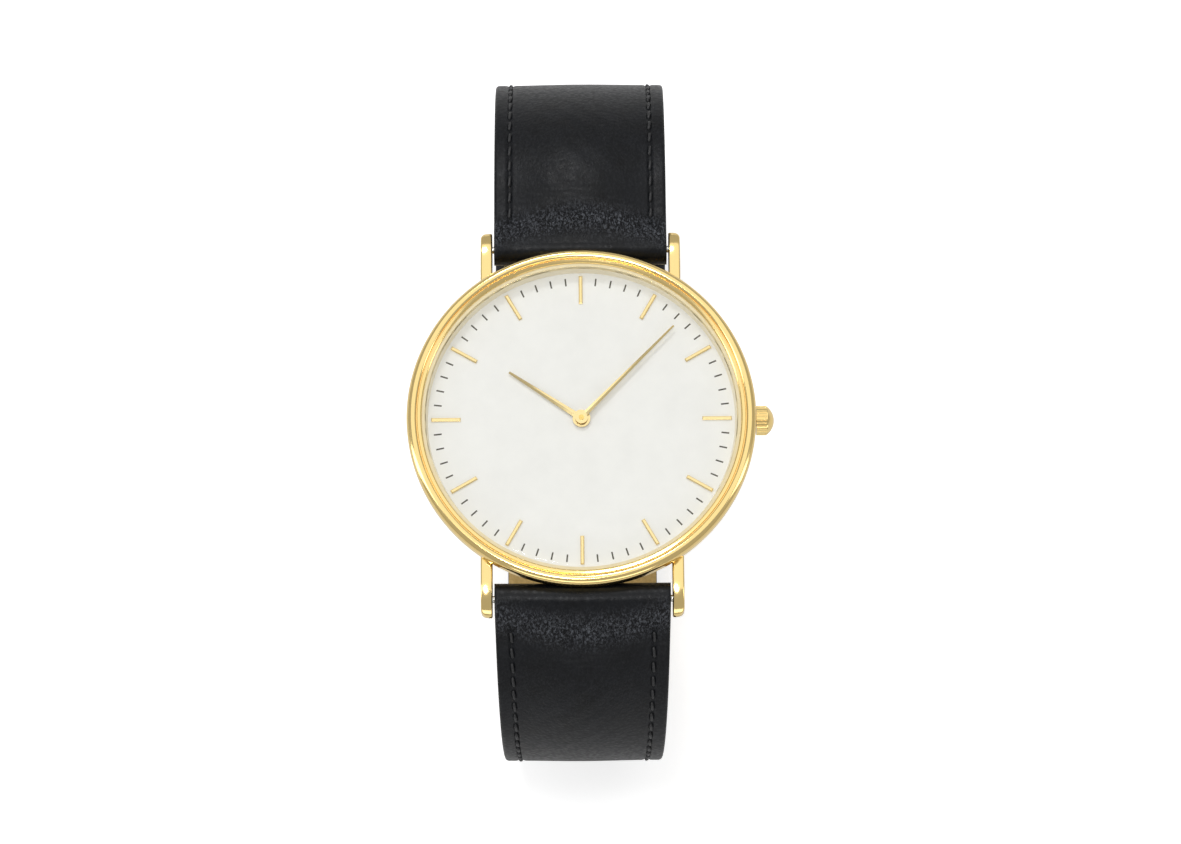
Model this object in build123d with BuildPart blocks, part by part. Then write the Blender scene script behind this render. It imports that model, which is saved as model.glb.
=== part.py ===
from build123d import *
from math import cos, degrees, hypot, radians, sin
import os

# Slim quartz dress watch on a buckled leather strap. All sizes are in millimetres.
# Origin: centre of the case back's outer face. +Z points out of the dial, +Y to 12 o'clock,
# +X to the crown. The strap is closed into a loop below the case.

os.makedirs("parts", exist_ok=True)

# ---- driving dimensions ----

# case and crystal
bezel_radius = 20.0  # outside of the head, 40 mm across
bezel_band = 1.75  # from the bezel's outside to the crystal opening
bezel_top = 6.3  # crest of the bezel over the case back
bezel_seat = 4.5  # shoulder the bezel sits on
neck_height = 0.8  # collar of the case that the bezel snaps over
neck_wall = 0.6
dial_ledge = 2.0  # width of the ledge the dial lies on
case_foot = 0.45  # lowest edge of the case flank
flank_overhang = 0.3  # bezel beyond the flank
flank_taper = 2.4  # flank's radius lost from the bezel to the foot
back_thickness = 0.9
back_skirt_wall = 0.45
back_skirt_height = 0.8
crystal_thickness = 0.95
seal_section = 0.35  # crystal and case back seals
piece_fit = 0.05  # clearance between pieces that are pushed together

# lugs and spring bars
strap_width = 20.0
strap_side_gap = 0.23
lug_thickness = 1.32
bar_standoff = 0.9  # spring bar's axis beyond the bezel
bar_height = 3.0
lug_tip_reach = 2.05  # lug's tip beyond the spring bar
lug_foot = 1.25
bar_tube_radius = 0.75
bar_tube_wall = 0.13
bar_pin_radius = 0.4
bar_pin_engagement = 0.8
pin_clearance = 0.05

# dial, markers and hands
dial_top = 4.3
dial_thickness = 0.4
flange_rim = 0.5  # flange ring's width where it meets the dial
marker_length = 3.35
marker_width = 0.42
marker_height = 0.25
marker_rim_gap = 0.9  # marker's outer end to the dial's edge
hour_hand_length = 9.97
minute_hand_length = 15.3
hour_hand_angle = 304.0  # clockwise from 12
minute_hand_angle = 44.3
hand_thickness = 0.16
hour_hand_height = 4.55
minute_hand_height = 4.95

# crown and stem
crown_radius = 1.7
crown_grip_length = 1.2
crown_dome_length = 0.85
crown_flutes = 28
crown_gap = 0.05  # crown's inner face to the bezel's outside
crown_pull = 0.9
stem_radius = 0.45
tube_wall = 0.15
clutch_radius = 0.55
stem_dial_gap = 0.15  # clutch to the underside of the dial

# movement
movement_radius = 12.8
plate_bottom = 2.55
plate_gap = 0.05  # plate's top to the dial
bridge_bottom = 1.3
bridge_thickness = 0.3
motion_module = 0.1  # cannon pinion and minute wheel
battery_radius = 3.4
battery_height = 1.65
battery_bottom = 1.6

# strap
strap_thickness = 2.4
lining_thickness = 0.9
roll_radius = 1.8  # strap's end around the spring bar
strap_end_width = 18.5
layer_gap = 0.3  # between the two straps where they overlap
tail_length = 25.0  # long strap beyond the buckle's bar
stitch_inset = 1.8
stitch_length = 1.4
stitch_pitch = 2.0
stitch_height = 0.2
stitch_width = 0.4
hole_length = 3.0
hole_width = 2.0
hole_pitch = 6.5

# loop of the strap, seen along the case's X axis
short_start = -4.0  # short strap's direction as it leaves the lugs, degrees above level
short_run = 6.8
short_shoulder_radius = 20.0
short_shoulder_turn = 56.0
short_side_radius = 22.0
short_corner_radius = 19.5
short_end_run = 6.5
long_start = 33.0  # long strap's direction as it leaves the lugs, degrees below level
long_side_radius = 26.6
bottom_slope = 7.0  # rise of the loop's bottom towards 12 o'clock

# buckle
buckle_side_gap = 0.25
buckle_arm_width = 1.5
buckle_length = 12.5  # bar to front bar
front_bar_radius = 0.85
front_bar_gap = 0.25  # long strap to front bar
tongue_width = 1.4
tongue_thickness = 0.84
tongue_fit = 0.05

# keepers
keeper_length = 5.0
keeper_wall = 1.1
keeper_gap = 0.35
keeper_side_gap = 0.25
fixed_keeper_place = 9.3  # keepers' middles, back along the short strap from the buckle's bar
free_keeper_place = 16.7

# ---- derived dimensions ----

opening_radius = bezel_radius - bezel_band
seat_radius = opening_radius - 0.15  # bore for the dial and the flange
neck_radius = seat_radius + neck_wall
neck_top = bezel_seat + neck_height
chamber_radius = seat_radius - dial_ledge
dial_bottom = dial_top - dial_thickness
dial_radius = seat_radius - piece_fit
flank_top_radius = bezel_radius - flank_overhang
flank_foot_radius = flank_top_radius - flank_taper
back_radius = chamber_radius + seal_section
crystal_radius = opening_radius - seal_section
crystal_bottom = neck_top + 0.1
lug_inner = strap_width / 2 + strap_side_gap
lug_outer = lug_inner + lug_thickness
bar_y = bezel_radius + bar_standoff
lug_tip = bar_y + lug_tip_reach
plate_top = dial_bottom - plate_gap
stem_height = dial_bottom - clutch_radius - stem_dial_gap
bridge_top = bridge_bottom + bridge_thickness
crown_face = bezel_radius + crown_gap
crown_end = crown_face + crown_grip_length + crown_dome_length
pinion_leaf_bottom = plate_bottom + 0.65
tunnel_radius = bar_tube_radius + 0.1
lining_top = lining_thickness - strap_thickness / 2
leather_top = strap_thickness / 2
buckle_inner = strap_end_width / 2 + buckle_side_gap


def keep(built, name):
    """Label a finished piece and write it to its own file."""
    built.part.label = name
    export_step(built.part, f"parts/{name}.step")


def at_angle(radius, angle):
    """Point in the dial's plane, at an angle in degrees anticlockwise from +X."""
    return radius * cos(radians(angle)), radius * sin(radians(angle))


# ---- strap's path: straight runs and arcs in the Y-Z plane ----
# A path is its start, its first direction in degrees from +Y towards +Z, which side of it is
# outwards (+1 left, -1 right), and its runs. A run is a length and a radius, 0 when straight,
# positive when it turns left.


def arc_run(radius, turn):
    """Run that turns by an angle in degrees."""
    return abs(radius * radians(turn)), radius


def walk(path, distance):
    """Point and direction at a distance along a path."""
    y, z, heading = path["start"]
    for length, radius in path["runs"]:
        step = min(distance, length)
        if radius == 0:
            y += step * cos(radians(heading))
            z += step * sin(radians(heading))
        else:
            turn = degrees(step / radius)
            y += radius * (sin(radians(heading + turn)) - sin(radians(heading)))
            z -= radius * (cos(radians(heading + turn)) - cos(radians(heading)))
            heading += turn
        distance -= step
        if distance <= 0:
            break
    return y, z, heading


def path_length(path):
    return sum(length for length, radius in path["runs"])


def beside(path, distance, rise):
    """Point off a path, outwards by a rise."""
    y, z, heading = walk(path, distance)
    return y - path["side"] * rise * sin(radians(heading)), z + path["side"] * rise * cos(radians(heading))


def plane_on(path, distance, rise):
    """Plane beside a path, with X across the strap and Z outwards."""
    y, z = beside(path, distance, rise)
    heading = walk(path, distance)[2]
    outward = (0, -path["side"] * sin(radians(heading)), path["side"] * cos(radians(heading)))
    return Plane(origin=(0, y, z), x_dir=(1, 0, 0), z_dir=outward)


def breaks(path, start, end):
    """Distances where runs meet, between two distances along a path, with both ends."""
    marks = [start]
    reached = 0
    for length, radius in path["runs"]:
        reached += length
        if start < reached < end:
            marks.append(reached)
    marks.append(end)
    return marks


def is_straight(path, distance):
    """Whether a path runs straight at a distance along it."""
    for length, radius in path["runs"]:
        if distance <= length:
            return radius == 0
        distance -= length
    return True


def draw_band(path, start, end, inner, outer):
    """Outline in the Y-Z plane between two offsets of a path, for the open line builder."""
    marks = breaks(path, start, end)
    for rise in (inner, outer):
        for first, last in zip(marks, marks[1:]):
            middle = beside(path, (first + last) / 2, rise)
            if is_straight(path, (first + last) / 2):
                Line(beside(path, first, rise), beside(path, last, rise))
            else:
                ThreePointArc(beside(path, first, rise), middle, beside(path, last, rise))
    for distance in (start, end):
        Line(beside(path, distance, inner), beside(path, distance, outer))


short_side_turn = 90 + short_start - short_shoulder_turn
short_path = {
    "start": (bar_y, bar_height, short_start),
    "side": 1,
    "runs": [
        (short_run, 0),
        arc_run(-short_shoulder_radius, short_shoulder_turn),
        arc_run(-short_side_radius, short_side_turn),
        arc_run(-short_corner_radius, 90 - bottom_slope),
        (short_end_run, 0),
    ],
}
short_length = path_length(short_path)
corner_start = short_length - short_end_run  # where the corner arc ends, towards the buckle
buckle_y, buckle_z, buckle_heading = walk(short_path, short_length)
corner_y, corner_z = beside(short_path, corner_start, -short_corner_radius)

# The long strap's lower arc is the one that meets the line just outside the short strap's end.
stack_rise = strap_thickness + layer_gap
meet_y, meet_z = beside(short_path, short_length, stack_rise)
out_y = -sin(radians(buckle_heading))
out_z = cos(radians(buckle_heading))
side_y = -bar_y - long_side_radius * (1 - sin(radians(long_start)))
side_z = bar_height - long_side_radius * cos(radians(long_start))
sweep_y = 1 + sin(radians(bottom_slope))
sweep_z = -cos(radians(bottom_slope))
long_corner_radius = ((meet_y - side_y) * out_y + (meet_z - side_z) * out_z) / (sweep_y * out_y + sweep_z * out_z)
flat_y = side_y + long_corner_radius * sweep_y
flat_z = side_z + long_corner_radius * sweep_z
flat_run = hypot(meet_y - flat_y, meet_z - flat_z)
tail_radius = short_corner_radius + stack_rise
long_path = {
    "start": (-bar_y, bar_height, 180 + long_start),
    "side": -1,
    "runs": [
        arc_run(long_side_radius, 90 - long_start),
        arc_run(long_corner_radius, 90 + bottom_slope),
        (flat_run + short_end_run, 0),
        (tail_length - short_end_run, tail_radius),
    ],
}
long_length = path_length(long_path)
tongue_place = long_length - tail_length  # distance along the long strap, level with the buckle's bar

# Heights between which each strap narrows
short_taper = (-14.0, -33.0)
long_taper = (bar_height, -24.0)


def half_width(taper, z):
    """Half of a strap's width at a height."""
    high, low = taper
    share = min(1, max(0, (high - z) / (high - low)))
    return (strap_width + share * (strap_end_width - strap_width)) / 2


def taper_points(taper, top, bottom):
    """Outline of a strap seen from 6 o'clock, between two heights."""
    heights = [top, taper[0], taper[1], bottom]
    right = [(half_width(taper, z), z) for z in heights]
    return right + [(-x, z) for x, z in reversed(right)]


# ---- case ----

# One lug: its side view, trimmed to its plan with a rounded outer corner.
with BuildPart() as lug:
    with BuildSketch(Plane.YZ.offset(lug_inner)):
        with BuildLine():
            Line((chamber_radius - 4, bezel_seat), (bar_y - 1.6, bezel_seat))
            ThreePointArc((bar_y - 1.6, bezel_seat), (lug_tip - 0.55, bezel_seat - 0.62), (lug_tip, bar_height - 0.3))
            ThreePointArc((lug_tip, bar_height - 0.3), (lug_tip - 0.25, bar_height - 1.35), (lug_tip - 1.1, lug_foot))
            Line((lug_tip - 1.1, lug_foot), (bar_y - 1.9, lug_foot))
            Line((bar_y - 1.9, lug_foot), (flank_foot_radius - 0.5, case_foot + 0.2))
            Line((flank_foot_radius - 0.5, case_foot + 0.2), (chamber_radius - 4, case_foot + 0.2))
            Line((chamber_radius - 4, case_foot + 0.2), (chamber_radius - 4, bezel_seat))
        make_face()
    extrude(amount=lug_thickness)
    with BuildSketch(Plane.XY):
        with BuildLine():
            Polyline(
                (lug_inner, 0),
                (lug_inner, lug_tip),
                (lug_outer, lug_tip),
                (lug_outer, 0),
                close=True,
            )
        make_face()
        fillet(vertices().group_by(Axis.Y)[-1].sort_by(Axis.X)[-1], radius=0.6 * lug_thickness)
    extrude(amount=bezel_top, mode=Mode.INTERSECT)
    # blind hole for the spring bar's pin
    with BuildSketch(Plane.YZ.offset(lug_inner)):
        with Locations((bar_y, bar_height)):
            Circle(bar_pin_radius + pin_clearance)
    extrude(amount=bar_pin_engagement + 0.1, mode=Mode.SUBTRACT)

with BuildPart() as case_body:
    with BuildSketch(Plane.XZ):
        with BuildLine():
            Line((0, case_foot), (flank_foot_radius, case_foot))
            ThreePointArc(
                (flank_foot_radius, case_foot),
                (flank_top_radius - 0.28 * flank_taper, (case_foot + bezel_seat) / 2),
                (flank_top_radius, bezel_seat),
            )
            Polyline(
                (flank_top_radius, bezel_seat),
                (neck_radius, bezel_seat),
                (neck_radius, neck_top),
                (0, neck_top),
                (0, case_foot),
            )
        make_face()
    revolve(axis=Axis.Z)
    # pocket between each pair of lugs for the strap's rolled end
    with Locations((0, bar_y, 0), (0, -bar_y, 0)):
        Box(
            2 * lug_inner,
            2 * (roll_radius + 0.2),
            bezel_seat,
            align=(Align.CENTER, Align.CENTER, Align.MIN),
            mode=Mode.SUBTRACT,
        )
    add(lug.part)
    add(mirror(lug.part, about=Plane.YZ, mode=Mode.PRIVATE))
    add(mirror(lug.part, about=Plane.XZ, mode=Mode.PRIVATE))
    add(mirror(mirror(lug.part, about=Plane.YZ, mode=Mode.PRIVATE), about=Plane.XZ, mode=Mode.PRIVATE))
    # stepped hollow: back recess, seal groove, chamber and dial seat
    with BuildSketch(Plane.XZ):
        with BuildLine():
            Polyline(
                (0, 0),
                (back_radius + piece_fit, 0),
                (back_radius + piece_fit, back_thickness),
                (back_radius - piece_fit, back_thickness),
                (back_radius - piece_fit, back_thickness + seal_section),
                (chamber_radius, back_thickness + seal_section),
                (chamber_radius, dial_bottom),
                (seat_radius, dial_bottom),
                (seat_radius, bezel_top),
                (0, bezel_top),
                close=True,
            )
        make_face()
    revolve(axis=Axis.Z, mode=Mode.SUBTRACT)
    # hole for the crown's tube
    with BuildSketch(Plane.YZ.offset(chamber_radius - 2)):
        with Locations((0, stem_height)):
            Circle(stem_radius + pin_clearance + tube_wall)
    extrude(amount=bezel_radius - chamber_radius + 2, mode=Mode.SUBTRACT)
keep(case_body, "case_body")

with BuildPart() as bezel:
    with BuildSketch(Plane.XZ):
        with BuildLine():
            Line((neck_radius + piece_fit, bezel_seat), (bezel_radius - 0.2, bezel_seat))
            Line((bezel_radius - 0.2, bezel_seat), (bezel_radius, bezel_seat + 0.2))
            Line((bezel_radius, bezel_seat + 0.2), (bezel_radius, bezel_top - 0.75))
            ThreePointArc(
                (bezel_radius, bezel_top - 0.75),
                (bezel_radius - 0.176, bezel_top - 0.264),
                (bezel_radius - 0.62, bezel_top),
            )
            ThreePointArc(
                (bezel_radius - 0.62, bezel_top),
                (bezel_radius - 0.9, bezel_top - 0.03),
                (bezel_radius - 1.1, bezel_top - 0.13),
            )
            Polyline(
                (bezel_radius - 1.1, bezel_top - 0.13),
                (bezel_radius - 1.14, bezel_top - 0.32),
                (bezel_radius - 1.21, bezel_top - 0.32),
                (bezel_radius - 1.25, bezel_top - 0.11),
                (opening_radius + 0.08, bezel_top - 0.24),
                (opening_radius, bezel_top - 0.34),
                (opening_radius, neck_top),
                (neck_radius + piece_fit, neck_top),
                (neck_radius + piece_fit, bezel_seat),
            )
        make_face()
    revolve(axis=Axis.Z)
keep(bezel, "bezel")

with BuildPart() as crystal:
    with BuildSketch(Plane.XY.offset(crystal_bottom)):
        Circle(crystal_radius)
    extrude(amount=crystal_thickness)
    chamfer(faces().sort_by(Axis.Z)[-1].edges(), length=0.2)
keep(crystal, "crystal")

flange_top_radius = seat_radius - 0.3
with BuildPart() as crystal_gasket:
    with BuildSketch(Plane.XZ):
        with BuildLine():
            Polyline(
                (flange_top_radius, neck_top),
                (opening_radius, neck_top),
                (opening_radius, crystal_bottom + 0.5),
                (crystal_radius, crystal_bottom + 0.5),
                (crystal_radius, crystal_bottom),
                (flange_top_radius, crystal_bottom),
                close=True,
            )
        make_face()
    revolve(axis=Axis.Z)
keep(crystal_gasket, "crystal_gasket")

# conical ring between the dial and the crystal
with BuildPart() as flange_ring:
    with BuildSketch(Plane.XZ):
        with BuildLine():
            Polyline(
                (seat_radius - flange_rim, dial_top),
                (dial_radius, dial_top),
                (dial_radius, neck_top),
                (flange_top_radius, neck_top),
                close=True,
            )
        make_face()
    revolve(axis=Axis.Z)
keep(flange_ring, "flange_ring")

skirt_top = back_thickness + back_skirt_height
skirt_radius = chamber_radius - piece_fit
with BuildPart() as case_back:
    with BuildSketch():
        Circle(back_radius)
    extrude(amount=back_thickness)
    chamfer(faces().sort_by(Axis.Z)[0].edges(), length=0.25)
    with BuildSketch(Plane.XY.offset(back_thickness)):
        Circle(skirt_radius)
        Circle(skirt_radius - back_skirt_wall, mode=Mode.SUBTRACT)
    extrude(amount=back_skirt_height)
    # notch for a case knife
    with Locations((0, -back_radius, 0)):
        Box(3.0, 0.6, 0.7, mode=Mode.SUBTRACT)
keep(case_back, "case_back")

with BuildPart() as case_back_gasket:
    with BuildSketch(Plane.XY.offset(back_thickness)):
        Circle(back_radius - piece_fit)
        Circle(skirt_radius, mode=Mode.SUBTRACT)
    extrude(amount=seal_section - piece_fit)
keep(case_back_gasket, "case_back_gasket")

# ---- dial, markers and hands ----

hour_pipe_radius = 0.65
cannon_radius = 0.4
cannon_tip_radius = 0.3
dial_foot_radius = 0.4
dial_foot_length = 1.1
dial_foot_angles = (145, -34)
dial_foot_circle = movement_radius - 1.4

with BuildPart() as dial:
    with BuildSketch(Plane.XY.offset(dial_bottom)):
        Circle(dial_radius)
        Circle(hour_pipe_radius + 0.1, mode=Mode.SUBTRACT)
    extrude(amount=dial_thickness)
    with BuildSketch(Plane.XY.offset(dial_bottom)):
        with Locations(*[at_angle(dial_foot_circle, angle) for angle in dial_foot_angles]):
            Circle(dial_foot_radius)
    extrude(amount=-dial_foot_length)
keep(dial, "dial")

marker_middle = seat_radius - marker_rim_gap - marker_length / 2
with BuildPart() as hour_markers:
    with BuildSketch(Plane.XY.offset(dial_top)):
        with PolarLocations(marker_middle, 12):
            Rectangle(marker_length, marker_width)
    extrude(amount=marker_height)
    chamfer(faces().group_by(Axis.Z)[-1].edges(), length=0.09)
keep(hour_markers, "hour_markers")


def build_hand(name, length, widths, height, hub_radius, bore_radius, collet, clockwise):
    """A blade with a ridge along its middle, a round hub and a collet below it."""
    point_y = cos(radians(clockwise))
    point_x = sin(radians(clockwise))
    with BuildPart() as hand:
        # the blade's roof-shaped section narrows from the hub to the tip
        for reach, width in ((0, widths[0]), (length, widths[1])):
            across = Plane(
                origin=(reach * point_x, reach * point_y, height),
                x_dir=(point_y, -point_x, 0),
                z_dir=(-point_x, -point_y, 0),
            )
            with BuildSketch(across):
                with BuildLine():
                    Polyline(
                        (-width / 2, 0),
                        (width / 2, 0),
                        (width / 2, hand_thickness / 2),
                        (0, hand_thickness),
                        (-width / 2, hand_thickness / 2),
                        close=True,
                    )
                make_face()
        loft()
        with BuildSketch(Plane.XY.offset(height)):
            Circle(hub_radius)
        extrude(amount=hand_thickness)
        with BuildSketch(Plane.XY.offset(height)):
            Circle(hub_radius - 0.1)
        extrude(amount=-collet)
        with BuildSketch(Plane.XY.offset(height - collet)):
            Circle(bore_radius)
        extrude(amount=collet + hand_thickness, mode=Mode.SUBTRACT)
    keep(hand, name)


build_hand(
    "hour_hand", hour_hand_length, (0.75, 0.25), hour_hand_height, 1.02, hour_pipe_radius, 0.12, hour_hand_angle
)
build_hand(
    "minute_hand", minute_hand_length, (0.6, 0.2), minute_hand_height, 0.72, cannon_tip_radius, 0.1, minute_hand_angle
)

# ---- crown, stem and their seal ----

tube_bore = stem_radius + pin_clearance
tube_radius = tube_bore + tube_wall
tube_end = crown_face + crown_pull + 0.4  # the seal stays on the tube when the crown is pulled
seal_start = crown_face + 0.08
seal_length = 0.3
seal_radius = tube_radius + 0.3

with BuildPart() as crown_tube:
    with BuildSketch(Plane.YZ.offset(chamber_radius)):
        with Locations((0, stem_height)):
            Circle(tube_radius)
            Circle(tube_bore, mode=Mode.SUBTRACT)
    extrude(amount=tube_end - chamber_radius)
keep(crown_tube, "crown_tube")

thread_depth = 0.4
with BuildPart() as crown:
    with BuildSketch(Plane.YZ.offset(crown_face)):
        with Locations((0, stem_height)):
            Circle(crown_radius)
            with PolarLocations(crown_radius + 0.04, crown_flutes):
                Circle(0.12, mode=Mode.SUBTRACT)
    extrude(amount=crown_grip_length)
    # polished dome, a cap of a sphere on a short neck
    dome_radius = crown_radius - 0.12
    with BuildSketch(Plane.XZ):
        with BuildLine():
            grip_end = crown_face + crown_grip_length
            dome_start = grip_end + 0.1
            Line((grip_end, stem_height), (grip_end, stem_height + dome_radius))
            Line((grip_end, stem_height + dome_radius), (dome_start, stem_height + dome_radius))
            dome_depth = crown_end - dome_start
            sphere_radius = (dome_radius**2 + dome_depth**2) / (2 * dome_depth)
            RadiusArc((dome_start, stem_height + dome_radius), (crown_end, stem_height), sphere_radius)
            Line((crown_end, stem_height), (grip_end, stem_height))
        make_face()
    revolve(axis=Axis((0, 0, stem_height), (1, 0, 0)))
    # bore for the tube, groove for the seal and threaded hole for the stem
    with BuildSketch(Plane.YZ.offset(crown_face)):
        with Locations((0, stem_height)):
            Circle(tube_radius + 0.08)
    extrude(amount=tube_end - crown_face + piece_fit, mode=Mode.SUBTRACT)
    with BuildSketch(Plane.YZ.offset(seal_start)):
        with Locations((0, stem_height)):
            Circle(seal_radius)
    extrude(amount=seal_length, mode=Mode.SUBTRACT)
    with BuildSketch(Plane.YZ.offset(tube_end)):
        with Locations((0, stem_height)):
            Circle(stem_radius)
    extrude(amount=piece_fit + thread_depth, mode=Mode.SUBTRACT)
keep(crown, "crown")

with BuildPart() as crown_gasket:
    with BuildSketch(Plane.YZ.offset(seal_start)):
        with Locations((0, stem_height)):
            Circle(seal_radius)
            Circle(tube_radius + 0.02, mode=Mode.SUBTRACT)
    extrude(amount=seal_length)
keep(crown_gasket, "crown_gasket")

# places along the stem, worked out from the gear that the clutch turns
motion_distance = (12 + 36) / 2 * motion_module
setting_distance = (36 + 20) / 2 * motion_module
minute_axis = at_angle(motion_distance, -35)
setting_axis = (minute_axis[0] + (setting_distance**2 - minute_axis[1] ** 2) ** 0.5, 0)
setting_rim = setting_axis[0] + 11 * motion_module
clutch_start = setting_rim + 0.45
clutch_length = 1.4
clutch_groove_start = clutch_start + 0.8
clutch_groove_length = 0.25
clutch_groove_radius = clutch_radius - 0.2
square = 0.42
square_start = clutch_start - 0.4
square_end = clutch_start + clutch_length + crown_pull + 0.6
lever_groove_start = square_end + 0.5
lever_groove_length = 0.4
lever_groove_radius = stem_radius - 0.2

with BuildPart() as stem:
    with BuildSketch(Plane.YZ.offset(square_end)):
        with Locations((0, stem_height)):
            Circle(stem_radius)
    extrude(amount=tube_end + piece_fit + thread_depth - square_end)
    with BuildSketch(Plane.YZ.offset(square_start)):
        with Locations((0, stem_height)):
            Rectangle(square, square)
    extrude(amount=square_end - square_start)
    with BuildSketch(Plane.YZ.offset(lever_groove_start)):
        with Locations((0, stem_height)):
            Circle(stem_radius + 0.1)
            Circle(lever_groove_radius, mode=Mode.SUBTRACT)
    extrude(amount=lever_groove_length, mode=Mode.SUBTRACT)
keep(stem, "stem")

with BuildPart() as clutch_pinion:
    with BuildSketch(Plane.YZ.offset(clutch_start)):
        with Locations((0, stem_height)):
            Circle(clutch_radius)
            Rectangle(square + 0.04, square + 0.04, mode=Mode.SUBTRACT)
    extrude(amount=clutch_length)
    with BuildSketch(Plane.YZ.offset(clutch_groove_start)):
        with Locations((0, stem_height)):
            Circle(clutch_radius + 0.1)
            Circle(clutch_groove_radius, mode=Mode.SUBTRACT)
    extrude(amount=clutch_groove_length, mode=Mode.SUBTRACT)
    # teeth on the end that faces the setting wheel
    with BuildSketch(Plane.YZ.offset(clutch_start)):
        with Locations((0, stem_height)):
            with PolarLocations(clutch_radius, 10):
                Rectangle(0.3, 0.16)
    extrude(amount=0.2, mode=Mode.SUBTRACT)
keep(clutch_pinion, "clutch_pinion")

lever_bottom = plate_bottom - 0.27
lever_top = plate_bottom - 0.05
with BuildPart() as setting_lever:
    lever_x = lever_groove_start + lever_groove_length / 2
    with BuildSketch(Plane.XY.offset(lever_bottom)):
        with Locations((lever_x, 1.6)):
            SlotOverall(4.8, 1.1, rotation=90)
        with Locations((lever_x - 0.9, 3.45)):
            Rectangle(1.8, 1.1)
    extrude(amount=lever_top - lever_bottom)
    # finger that stands in the stem's groove
    with Locations((lever_x, 0, lever_bottom)):
        Box(
            lever_groove_length - 0.04,
            0.8,
            stem_height - lever_groove_radius - 0.03 - lever_bottom,
            align=(Align.CENTER, Align.CENTER, Align.MIN),
        )
keep(setting_lever, "setting_lever")

with BuildPart() as yoke:
    yoke_x = clutch_groove_start + clutch_groove_length / 2
    with BuildSketch(Plane.XY.offset(lever_bottom)):
        with Locations((yoke_x, -1.55)):
            SlotOverall(3.9, 0.8, rotation=90)
    extrude(amount=lever_top - lever_bottom)
    # finger that stands in the clutch's groove
    with Locations((yoke_x, 0, lever_bottom)):
        Box(
            clutch_groove_length - 0.04,
            0.6,
            stem_height - clutch_groove_radius - 0.03 - lever_bottom,
            align=(Align.CENTER, Align.CENTER, Align.MIN),
        )
keep(yoke, "yoke")

# ---- motion works and going train ----


def gear_points(teeth, module):
    """Corners of a gear's outline: straight-sided teeth between the root and the tip circle."""
    pitch = 360 / teeth
    root = module * (teeth / 2 - 1.2)
    tip = module * (teeth / 2 + 0.95)
    points = []
    for tooth in range(teeth):
        middle = tooth * pitch
        for radius, share in ((root, -0.34), (tip, -0.14), (tip, 0.14), (root, 0.34)):
            points.append(at_angle(radius, middle + share * pitch))
    return points


def build_wheel(name, axis, gears, shafts, bore):
    """Gears and shafts on one axis. A gear is teeth, module, bottom, thickness; a shaft radius, bottom, top."""
    with BuildPart() as wheel:
        for teeth, module, bottom, thickness in gears:
            with BuildSketch(Plane((*axis, bottom))):
                with BuildLine():
                    Polyline(*gear_points(teeth, module), close=True)
                make_face()
            extrude(amount=thickness)
        for radius, bottom, top in shafts:
            with BuildSketch(Plane((*axis, bottom))):
                Circle(radius)
            extrude(amount=top - bottom)
        if bore:
            with BuildSketch(Plane((*axis, 0))):
                Circle(bore)
            extrude(amount=bezel_top, mode=Mode.SUBTRACT)
    keep(wheel, name)


stud_radius = 0.2
stud_clearance = 0.03
recess_floor = plate_bottom + 0.6
hour_module = 2 * motion_distance / (10 + 40)
centre_module = 0.08
train_module = 0.07
centre_distance = (70 + 7) / 2 * centre_module
rotor_distance = (72 + 8) / 2 * train_module
intermediate_axis = at_angle(centre_distance, 100)
rotor_offset = at_angle(rotor_distance, 150)
rotor_axis = (intermediate_axis[0] + rotor_offset[0], intermediate_axis[1] + rotor_offset[1])
pivot_radius = 0.12
pivot_hole_radius = pivot_radius + stud_clearance
pivot_bottom = bridge_bottom + 0.05
pivot_top = plate_bottom + 0.2

build_wheel(
    "cannon_pinion",
    (0, 0),
    [(70, centre_module, plate_bottom - 0.45, 0.15), (12, motion_module, pinion_leaf_bottom, 0.25)],
    [
        (stud_radius, pivot_bottom, plate_bottom),
        (cannon_radius, plate_bottom - 0.5, minute_hand_height - 0.15),
        (cannon_tip_radius, minute_hand_height - 0.15, minute_hand_height + 0.27),
    ],
    0,
)
build_wheel(
    "hour_wheel",
    (0, 0),
    [(40, hour_module, pinion_leaf_bottom + 0.35, 0.15)],
    [(hour_pipe_radius, pinion_leaf_bottom + 0.32, hour_hand_height + hand_thickness + 0.03)],
    cannon_radius + 0.05,
)
build_wheel(
    "minute_wheel",
    minute_axis,
    [(36, motion_module, pinion_leaf_bottom + 0.05, 0.15), (10, hour_module, pinion_leaf_bottom + 0.2, 0.32)],
    [],
    stud_radius + stud_clearance,
)
build_wheel(
    "setting_wheel",
    setting_axis,
    [(20, motion_module, pinion_leaf_bottom + 0.05, 0.15)],
    [],
    stud_radius + stud_clearance,
)
build_wheel(
    "intermediate_wheel",
    intermediate_axis,
    [(72, train_module, plate_bottom - 0.8, 0.15), (7, centre_module, plate_bottom - 0.55, 0.4)],
    [(pivot_radius, pivot_bottom, pivot_top)],
    0,
)
build_wheel(
    "rotor_pinion",
    rotor_axis,
    [(8, train_module, plate_bottom - 0.9, 0.35)],
    [(pivot_radius, pivot_bottom, pivot_top)],
    0,
)

magnet_radius = 0.6
with BuildPart() as rotor_magnet:
    with BuildSketch(Plane.XY.offset(plate_bottom - 0.5)):
        with Locations(rotor_axis):
            Circle(magnet_radius)
            Circle(pivot_radius, mode=Mode.SUBTRACT)
    extrude(amount=0.42)
keep(rotor_magnet, "rotor_magnet")

# ---- movement's frame ----

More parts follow.
